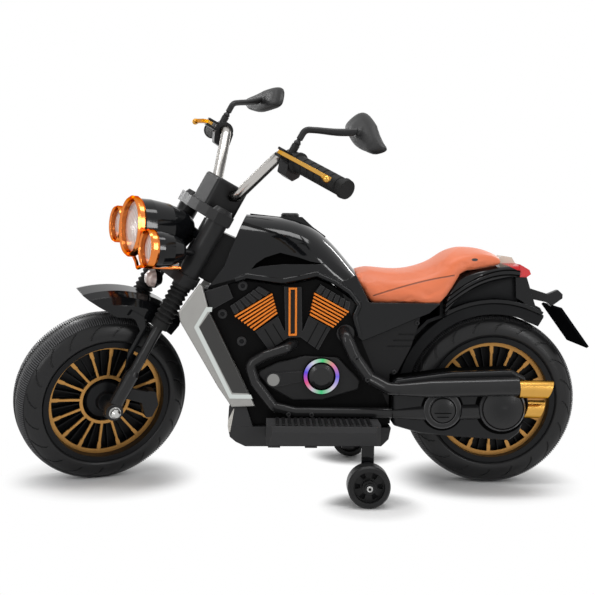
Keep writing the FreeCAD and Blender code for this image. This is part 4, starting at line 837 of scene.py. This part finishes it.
    def light_guide(self):
        """White strips, and a ring whose colour changes round the clutch."""
        made = Finish("light_guide", (0.85, 0.87, 0.9), 0.25, Emission_Strength=0.6)
        x, _, z = made.axes(made.place())
        turn = made.node("ShaderNodeMath", {0: z - CLUTCH[1], 1: x - CLUTCH[0]}, operation="ARCTAN2")
        hues = made.node("ShaderNodeValToRGB", {0: turn / (2 * math.pi) + 0.5}, stops=RING_HUES)
        lit_inside, lit_outside, clutch_reach, strip_white = 0.0255, 0.0318, 0.06, (0.80, 0.85, 0.82)
        away = made.distance(x, z, CLUTCH)
        shade = made.blend(away < clutch_reach, strip_white, hues)
        dark_share, black = 0.9, (0, 0, 0)
        made.set("Base Color", made.blend(dark_share, shade, black))
        made.set("Emission Color", shade)
        made.worn(size=0.01, spread=0.05)
        return made.dulled((away < lit_inside).most((away > lit_outside) * (away < clutch_reach)))

    def lens(self):
        """Fluted lamp glass, with the light and shade of a bright bowl behind it painted into its colour."""
        made = Finish("lamp_lens", (0.75, 0.6, 0.55), 0.12, Coat_Weight=0.5, Coat_Roughness=0.02)
        flutes = made.node("ShaderNodeTexWave", {"Vector": made.place(FORK), "Scale": 42.0},
                           bands_direction="Y")
        # Painted light and shade: bright and dark bands and patches stand in for the lit bowl seen through
        # the flutes
        painted_bowl_light = flutes * 0.45 + made.noise(0.05, 1.0) * 0.55
        made.set("Base Color", made.blend(painted_bowl_light, (0.30, 0.19, 0.18), (0.80, 0.68, 0.62)))
        return made.relief(flutes, 0.0006)

    def tail_lens(self):
        """Red lens with a clear lamp above it."""
        made = Finish("tail_lens", (0.55, 0.01, 0.012), 0.1, Coat_Weight=0.5, Coat_Roughness=0.03)
        x, _, z = made.axes(made.place())
        clear_start, clear_level = -0.0435, 0.4115
        clear = (x > clear_start) * (z > clear_level)
        made.set("Base Color", made.blend(clear, (0.62, 0.008, 0.012), (0.72, 0.66, 0.55)))
        flutes = made.node("ShaderNodeTexWave", {"Vector": made.place(), "Scale": 80.0}, bands_direction="Y")
        return made.relief(flutes, 0.0003)


class MOTORBIKE_OT_tyres(bpy.types.Operator):
    """Moulded tyres with ribbed shoulders and grooved sidewalls"""
    bl_idname = "motorbike.tyres"
    bl_label = "Tyres"

    def execute(self, context):
        paint, tread = settings().paint, settings().tyre
        form = self.form(tread)
        wall = moulded("tyre_black", paint.tyre_black, 0.3, grain=0.0012, Specular_IOR_Level=0.25)
        # Painted highlight: the shoulder ribs get a lighter black than the wall
        ribs = moulded("tread_rib_highlight", paint.rib_highlight, 0.5)
        for end, axle, spin in (("front", FRONT_AXLE, FRONT_SPIN), ("rear", REAR_AXLE, REAR_SPIN)):
            tyre = settle(twin(form, f"tread_{end}"), upright_frame(axle, spin, UP))
            fitted(tyre, (wall.material, ribs.material), f"{end}_wheel", f"{end}_tyre", slot="tyre")
        bpy.data.objects.remove(form)
        return {"FINISHED"}

    def form(self, tread):
        """One tyre about the Y axis."""
        form = spun("tyre", self.section(), tread.steps)
        step_angle = 2 * math.pi / tread.steps
        spacing = tread.steps // tread.groove_count
        shoulder, wall = (0.1513, 0.1586), (0.13, 0.15)
        wall_start, sweep = 0.033, 14

        def polar(face):
            """Distance from the axle and step round it of a face's middle."""
            x, _, z = face.calc_center_median()
            return math.hypot(x, z), int((math.atan2(z, x) + math.pi) / step_angle)

        def rib(face):
            radius, step = polar(face)
            return step % 2 == 0 and shoulder[0] < radius < shoulder[1]

        def groove(face):
            radius, step = polar(face)
            if abs(face.calc_center_median().y) < wall_start or not wall[0] < radius < wall[1]:
                return False
            rise = (radius - wall[0]) / (wall[1] - wall[0])
            return (step - int(sweep * rise * rise)) % spacing < 1 + rise

        with Editing(form) as edit:
            for test, height in ((rib, tread.rib_height), (groove, -tread.groove_depth)):
                edit.pick(test)
                bpy.ops.mesh.extrude_region_shrink_fatten(TRANSFORM_OT_shrink_fatten={"value": height})
                if test is rib:
                    edit.mark()
        smooth(form, 35)
        return form

    def section(self):
        """The closed section, cut finer where the tread is."""
        fine = TYRE_HALF[:1]
        fine_from, fine_to, fine_cuts = 0.125, 0.156, 3
        for (y, radius), (next_y, next_radius) in zip(TYRE_HALF, TYRE_HALF[1:]):
            cuts = fine_cuts if fine_from < radius < fine_to else 1
            fine += [(y + (next_y - y) * cut / cuts, radius + (next_radius - radius) * cut / cuts)
                     for cut in range(1, cuts + 1)]
        around = fine + [(-y, radius) for y, radius in reversed(fine[1:])]
        return [(0, y, radius) for y, radius in around + around[:1]]


class MOTORBIKE_OT_mirrors(bpy.types.Operator):
    """Smooth mirror heads on their stems"""
    bl_idname = "motorbike.mirrors"
    bl_label = "Mirrors"

    def execute(self, context):
        mirror = settings().mirror
        for side in SIDES:
            node = NODES[f"mirror_{side}"]
            head = remeshed(node, f"mirror_head_{side}", mirror.voxel, mirror.rounds, FORK.inverted())
            self.shape(head, side, mirror)
            settle(head, FORK)
            smooth(head, 50)
            fitted(head, node.data.materials, f"{side}_mirror", node.name, slot="black_gloss")
        return {"FINISHED"}

    def shape(self, head, side, mirror):
        """Fatten the stem, widen the head in its middle and draw its tip in."""
        back = FORK.inverted()
        out = SIDES[side]
        foot, post = hinge(f"{side}_mirror_turn")
        foot, post = back @ foot, back.to_3x3() @ post * out
        head_length, tip_length, head_face = 0.14, 0.012, -0.1
        stem_start, stem_back, head_front = 0.01, -0.083, -0.087
        wide_from, wide_to = 0.115, 0.055
        points = [vertex.co for vertex in head.data.vertices]
        tip = max(out * point.y for point in points)

        def level(length):
            """Mean height of the points within a length of the tip."""
            rows = [point.z for point in points if out * point.y > tip - length]
            return sum(rows) / len(rows)

        wide_middle = (head_face, out * (tip - (wide_from + wide_to) / 2), level(head_length))
        tip_middle = (head_face, out * tip, level(tip_length))
        drag = {"use_proportional_edit": True, "use_proportional_connected": True}
        with Editing(head, "VERT") as edit:
            edit.pick(lambda point: (point.co - foot).dot(post) > stem_start and point.co.x > stem_back)
            bpy.ops.transform.shrink_fatten(value=mirror.stem)
            edit.pick(lambda point: tip - wide_from < out * point.co.y < tip - wide_to
                      and point.co.x < head_front)
            bpy.ops.transform.resize(value=(1, 1, mirror.widen), center_override=wide_middle,
                                     proportional_size=mirror.reach,
                                     proportional_edit_falloff="SMOOTH", **drag)
            edit.pick(lambda point: out * point.co.y > tip - tip_length)
            bpy.ops.transform.resize(value=(1, 1, mirror.narrow), center_override=tip_middle,
                                     proportional_size=mirror.reach * mirror.tip_share,
                                     proportional_edit_falloff="LINEAR", **drag)


class MOTORBIKE_OT_levers(bpy.types.Operator):
    """Ball ends on the brake levers"""
    bl_idname = "motorbike.levers"
    bl_label = "Lever ends"

    def execute(self, context):
        lever = settings().lever
        tip_length, straight = 0.012, (0.04, 0.14)
        for side, out in SIDES.items():
            node = NODES[f"brake_lever_{side}"]
            points = [FORK.inverted() @ node.matrix_world @ vertex.co for vertex in node.data.vertices]
            tip = max(out * point.y for point in points)
            end = mean(point for point in points if tip - out * point.y < tip_length)
            root = mean(point for point in points if straight[0] < tip - out * point.y < straight[1])
            end.x += lever.lift
            ball = self.ball(f"lever_ball_{side}", lever.ball)
            settle(ball, FORK @ upright_frame(end, end - root, UP))
            smooth(ball)
            fitted(ball, node.data.materials, f"{side}_lever", slot="gold")
        return {"FINISHED"}

    def ball(self, name, radius):
        """A ball with a short neck towards its lever."""
        steps, sweep, foot, facets = 14, math.radians(150), -1.8 * radius, 28
        turns = [sweep * step / steps for step in range(steps + 1)]
        profile = [(0, radius * math.cos(turn), radius * math.sin(turn)) for turn in turns]
        return spun(name, profile + [(0, foot, profile[-1][2]), (0, foot, 0)], facets)


class MOTORBIKE_OT_seat(bpy.types.Operator):
    """Padded seat, inflated over the form that the frame gives it"""
    bl_idname = "motorbike.seat"
    bl_label = "Seat"

    def execute(self, context):
        pad = settings().seat
        seat = remeshed(NODES["seat_cushion"], "seat_pad", pad.voxel, rounds=2)
        self.inflate(seat, pad)
        modify(seat, "SUBSURF", levels=1, render_levels=1)
        smooth(seat, 180)
        fitted(seat, [self.leatherette().material], "chassis", "seat_cushion", slot="seat")
        return {"FINISHED"}

    def inflate(self, seat, pad):
        """Blow the padding up in a short cloth simulation, within a limit."""
        rest = [vertex.co.copy() for vertex in seat.data.vertices]
        cloth = seat.modifiers.new("Cloth", "CLOTH")
        cloth.settings.use_pressure = True
        cloth.settings.uniform_pressure_force = pad.pressure
        cloth.settings.effector_weights.gravity = 0
        scene = bpy.context.scene
        frames = 20
        for step in range(1, frames + 1):
            scene.frame_set(step)
        only(seat)
        bpy.ops.object.modifier_apply(modifier=cloth.name)
        scene.frame_set(1)
        for vertex, start in zip(seat.data.vertices, rest):
            move = vertex.co - start
            if move.length > pad.most:
                vertex.co = start + move.normalized() * pad.most

    def leatherette(self):
        """Fine-grained leatherette with a sewn seam along each side, and a slot near its back end painted as
        a dark patch of shade.
        """
        finish = Finish("seat_leatherette", settings().paint.seat, 0.46, Sheen_Weight=0.12)
        x, y, z = finish.axes(finish.place())
        grain, seam_start, seam_end, inner_reach = 0.0016, 0.085, 0.232, 0.02
        slot_x, slot_z, slot_half_length, slot_half_height = 0.047, 0.4235, 0.006, 0.0026
        cells = finish.node("ShaderNodeTexVoronoi", {"Vector": finish.place(), "Scale": 1 / grain},
                            out="Distance")
        seam_level = 0.404 - x * 0.048 - x * x * 0.68
        line = abs(z - seam_level).rising(0.0006, 0.0018)
        seam = (1.0 - line) * (x > seam_start) * (x < seam_end)
        across, along = (x - slot_x) / slot_half_length, (z - slot_z) / slot_half_height
        # Painted shade: the slot is only a dark patch in the colour
        slot = (across * across + along * along < 1.0) * (abs(y) > inner_reach)
        leather = finish.blend(finish.noise(0.06), *finish.shades(0.9, 1.08))
        sewn = finish.blend(seam, leather, finish.shades(0.35, 1)[0])
        finish.set("Base Color", finish.blend(slot, sewn, (0.004, 0.003, 0.003)))
        return finish.worn(0.015, 0.06).relief(cells * 0.08 - seam, 0.0012)


class MOTORBIKE_OT_lining(bpy.types.Operator):
    """Dark lining between the rear mudguard and the tyre, and a dark tray under the tail that stands in for
    the shade inside it
    """
    bl_idname = "motorbike.lining"
    bl_label = "Rear lining"

    def execute(self, context):
        lining = settings().lining
        black = moulded("lining_black", settings().paint.gloss_black, 0.6).material
        half, low, high = lining.half_width, lining.low, lining.high
        crown_rise, crown_inset, tray_edge, steps = 0.004, 0.006, 0.003, 72
        crown, crown_half = high + crown_rise, half - crown_inset
        section = [(0, -half, low), (0, half, low), (0, half, high), (0, crown_half, crown),
                   (0, -crown_half, crown), (0, -half, high)]
        arch = spun("guard_lining", section + section[:1], steps, lining.span)
        settle(arch, Matrix.Translation(REAR_AXLE) @ Matrix.Rotation(lining.start, 4, "Y"))
        # A dark tray that stands in for the shade inside the tail
        tray = bevelled(plate("tail_shade_tray", TAIL_SHADE_TRAY, -lining.tray, lining.tray), tray_edge)
        for piece in (arch, tray):
            smooth(piece)
            fitted(piece, [black], "chassis", slot="black_satin")
        return {"FINISHED"}


class MOTORBIKE_OT_screws(bpy.types.Operator):
    """Screw heads on the engine, the covers round it and the stabilisers' axles"""
    bl_idname = "motorbike.screws"
    bl_label = "Screws"

    def execute(self, context):
        screw, paint = settings().screw, settings().paint
        black = moulded("screw_black", paint.belly_black, 0.32).material
        # Painted shade: the sunk sockets get a darker black
        socket = moulded("screw_socket_shade", paint.gloss_black, 0.6).material
        steel = plated("screw_steel", paint.steel, 0.26).material
        axle = middle(NODES["stabiliser_wheel_left"])
        groups = ((screw.boss, black, ENGINE_BOSSES), (screw.head, black, SMALL_SCREWS),
                  (screw.axle, steel, [(axle.x, axle.z)]))
        for radius, material, places in groups:
            model = self.head(radius, screw.rise)
            for index, (x, z) in enumerate(places):
                for side, out in SIDES.items():
                    piece = twin(model, f"screw_{round(radius * 1e4)}_{index}_{side[0]}")
                    outwards = Matrix.Rotation(-out * math.pi / 2, 4, "X")
                    settle(piece, Matrix.Translation(surface(x, out, z)) @ outwards)
                    fitted(piece, (material, socket), "chassis", slot="black_satin")
            bpy.data.objects.remove(model)
        return {"FINISHED"}

    def head(self, radius, rise):
        """A round head with a chamfer and a sunk socket."""
        deselect()
        bpy.ops.mesh.primitive_cylinder_add(vertices=24, radius=radius, depth=2 * rise)
        head = begin("screw_head")
        chamfer, wall, crown = radius * 0.18, radius * 0.3, rise * 0.5

        def top(face):
            return face.normal.z > 0.9 and face.calc_center_median().z > 0

        with Editing(head) as edit:
            edit.pick(top)
            bpy.ops.mesh.inset(thickness=chamfer)
            bpy.ops.mesh.extrude_region_move(TRANSFORM_OT_translate={"value": (0, 0, crown)})
            bpy.ops.mesh.inset(thickness=wall)
            bpy.ops.mesh.extrude_region_move(TRANSFORM_OT_translate={"value": (0, 0, -rise)})
            # The socket faces take the darker black, as painted shade
            edit.mark()
        smooth(head)
        return head


class MOTORBIKE_OT_boards(bpy.types.Operator):
    """Cross-ribbed treads on the footboards"""
    bl_idname = "motorbike.boards"
    bl_label = "Footboard treads"

    def execute(self, context):
        tread = settings().board
        black = moulded("tread_black", settings().paint.engine_black, 0.45).material
        x, y, z = zip(*NODES["footboards"].bound_box)
        rear, front = min(x) + tread.margin, max(x) - tread.margin
        top, edge = max(z), max(y) - tread.lip
        pitch = (front - rear) / tread.ribs
        rib_share, sunk, rib_edge = 0.55, 0.0004, 0.0008
        deselect()
        bpy.ops.mesh.primitive_cube_add(size=1)
        rib = begin("tread_rib")
        rib.scale = (pitch * rib_share, edge - tread.inner, tread.rise)
        rib.location = (rear + pitch / 2, (edge + tread.inner) / 2, top + tread.rise / 2 - sunk)
        bevelled(settle(rib), rib_edge)
        modify(rib, "ARRAY", count=tread.ribs, use_relative_offset=False, use_constant_offset=True,
               constant_offset_displace=(pitch, 0, 0))
        smooth(rib)
        far = twin(rib, "board_tread_right")
        rib.name = rib.data.name = "board_tread_left"
        settle(far, Matrix.Scale(-1, 4, Vector((0, 1, 0))))
        with Editing(far):
            weld()
        for piece in (rib, far):
            fitted(piece, [black], "chassis", slot="black_satin")
        return {"FINISHED"}


class MOTORBIKE_OT_windows(bpy.types.Operator):
    """Dark rings that close the windows of the stabiliser wheels"""
    bl_idname = "motorbike.windows"
    bl_label = "Wheel windows"

    def execute(self, context):
        window = settings().window
        black = moulded("window_black", settings().paint.gloss_black, 0.6).material
        section = [(0, -window.half, window.inner), (0, window.half, window.inner),
                   (0, window.half, window.outer), (0, -window.half, window.outer)]
        model = spun("window_ring", section + section[:1], 48)
        for side in SIDES:
            ring = twin(model, f"window_ring_{side}")
            settle(ring, Matrix.Translation(middle(NODES[f"stabiliser_wheel_{side}"])))
            smooth(ring)
            fitted(ring, [black], f"{side}_stabiliser_wheel", slot="black_satin")
        bpy.data.objects.remove(model)
        return {"FINISHED"}


class MOTORBIKE_OT_stage(bpy.types.Operator):
    """Pale floor, soft light from all round and the camera"""
    bl_idname = "motorbike.stage"
    bl_label = "Stage"

    def execute(self, context):
        stage = settings().stage
        scene = context.scene
        scene.view_settings.view_transform = "Standard"
        self.floor()
        self.sky(scene, stage)
        self.lamp("overhead", (MIDDLE_X, 0.25, 1.8), (MIDDLE_X, 0, 0.2), (1.5, 0.3), stage.key)
        for name, x in (("front", 1.6), ("rear", -0.9)):
            for side, y in (("near", 1.5), ("far", -1.5)):
                self.lamp(f"{name}_{side}", (x, y, 1.0), (MIDDLE_X, 0, 0.3), (0.09, 1.3), stage.fill)
        self.camera(scene, stage)
        return {"FINISHED"}

    def floor(self):
        """A floor that shows its shadows near the wheels and is plain white elsewhere."""
        width, drop = 30, 0.0006
        deselect()
        bpy.ops.mesh.primitive_plane_add(size=width, location=(MIDDLE_X, 0, -drop))
        floor = begin("floor")
        settle(floor)
        made = Finish("floor_white", (0.93, 0.93, 0.93), 0.9, Specular_IOR_Level=0.1)
        made.mottled(0.4, 0.995, 1.005)
        x, y, _ = made.axes(made.place())
        away = 1.0
        wheel_reach, small_reach = 0.19, 0.1
        small_x, small_y = 0.236, 0.19
        contacts = ((REAR_AXLE.x, 0, wheel_reach), (FRONT_AXLE.x, 0, wheel_reach),
                    (small_x, small_y, small_reach), (small_x, -small_y, small_reach))
        for middle_x, middle_y, reach in contacts:
            across, along = (x - middle_x) / reach, (y - middle_y) / reach
            away = (across * across + along * along).least(away)
        white = made.node("ShaderNodeEmission", {"Color": (1, 1, 1, 1), "Strength": 1.0})
        dress(floor, made.covered(made.seen() * away.rising(0.2, 1.0), white).material)

    def sky(self, scene, stage):
        """White where it is seen, and dimmer as a light."""
        scene.world = bpy.data.worlds.new("studio")
        made = Nodes(scene.world)
        back = made.tree.nodes["Background"].inputs
        made.link(back["Color"], (1, 1, 1, 1))
        made.link(back["Strength"], made.seen() * (1 - stage.sky) + stage.sky)

    def lamp(self, name, place, target, size, power):
        """A strip lamp that faces a target."""
        data = bpy.data.lights.new(name, "AREA")
        data.shape = "RECTANGLE"
        data.size, data.size_y = size
        data.energy = power
        lamp = bpy.data.objects.new(name, data)
        bpy.context.scene.collection.objects.link(lamp)
        lamp.location = place
        lamp.rotation_euler = (Vector(target) - Vector(place)).to_track_quat("-Z", "Y").to_euler()

    def camera(self, scene, stage):
        """The camera, turned by yaw, then pitch, then roll."""
        data = bpy.data.cameras.new("photo_camera")
        data.sensor_width = 36
        data.lens = stage.lens
        camera = bpy.data.objects.new("photo_camera", data)
        scene.collection.objects.link(camera)
        yaw, pitch, roll = stage.camera_yaw, stage.camera_pitch, stage.camera_roll
        ahead = Vector((-math.sin(yaw) * math.cos(pitch), -math.cos(yaw) * math.cos(pitch), math.sin(pitch)))
        level = Vector((-math.cos(yaw), math.sin(yaw), 0))
        rise = level.cross(ahead)
        right = math.cos(roll) * level + math.sin(roll) * rise
        up = math.cos(roll) * rise - math.sin(roll) * level
        turn = Matrix((right, up, -ahead)).transposed().to_4x4()
        camera.matrix_world = Matrix.Translation(stage.camera_place) @ turn
        scene.camera = camera


class MOTORBIKE_PT_panel(bpy.types.Panel):
    """Buttons for each group of pieces"""
    bl_idname = "MOTORBIKE_PT_panel"
    bl_label = "Motorbike"
    bl_space_type = "VIEW_3D"
    bl_region_type = "UI"
    bl_category = "Motorbike"

    def draw(self, context):
        for step in STEPS:
            self.layout.operator(step.bl_idname)


GROUPS = (PaintSettings, StageSettings, TyreSettings, MirrorSettings, LeverSettings, SeatSettings,
          LiningSettings, ScrewSettings, BoardSettings, WindowSettings, MotorbikeSettings)
STEPS = (MOTORBIKE_OT_paint, MOTORBIKE_OT_screws, MOTORBIKE_OT_tyres, MOTORBIKE_OT_mirrors,
         MOTORBIKE_OT_levers, MOTORBIKE_OT_seat, MOTORBIKE_OT_lining, MOTORBIKE_OT_boards,
         MOTORBIKE_OT_windows, MOTORBIKE_OT_stage)


def register():
    for item in (*GROUPS, *STEPS, MOTORBIKE_PT_panel):
        bpy.utils.register_class(item)
    bpy.types.Scene.motorbike = PointerProperty(type=MotorbikeSettings)


def unregister():
    del bpy.types.Scene.motorbike
    for item in reversed((*GROUPS, *STEPS, MOTORBIKE_PT_panel)):
        bpy.utils.unregister_class(item)


def main():
    register()
    for step in STEPS:
        group, name = step.bl_idname.split(".")
        getattr(getattr(bpy.ops, group), name)()


if __name__ == "__main__":
    main()
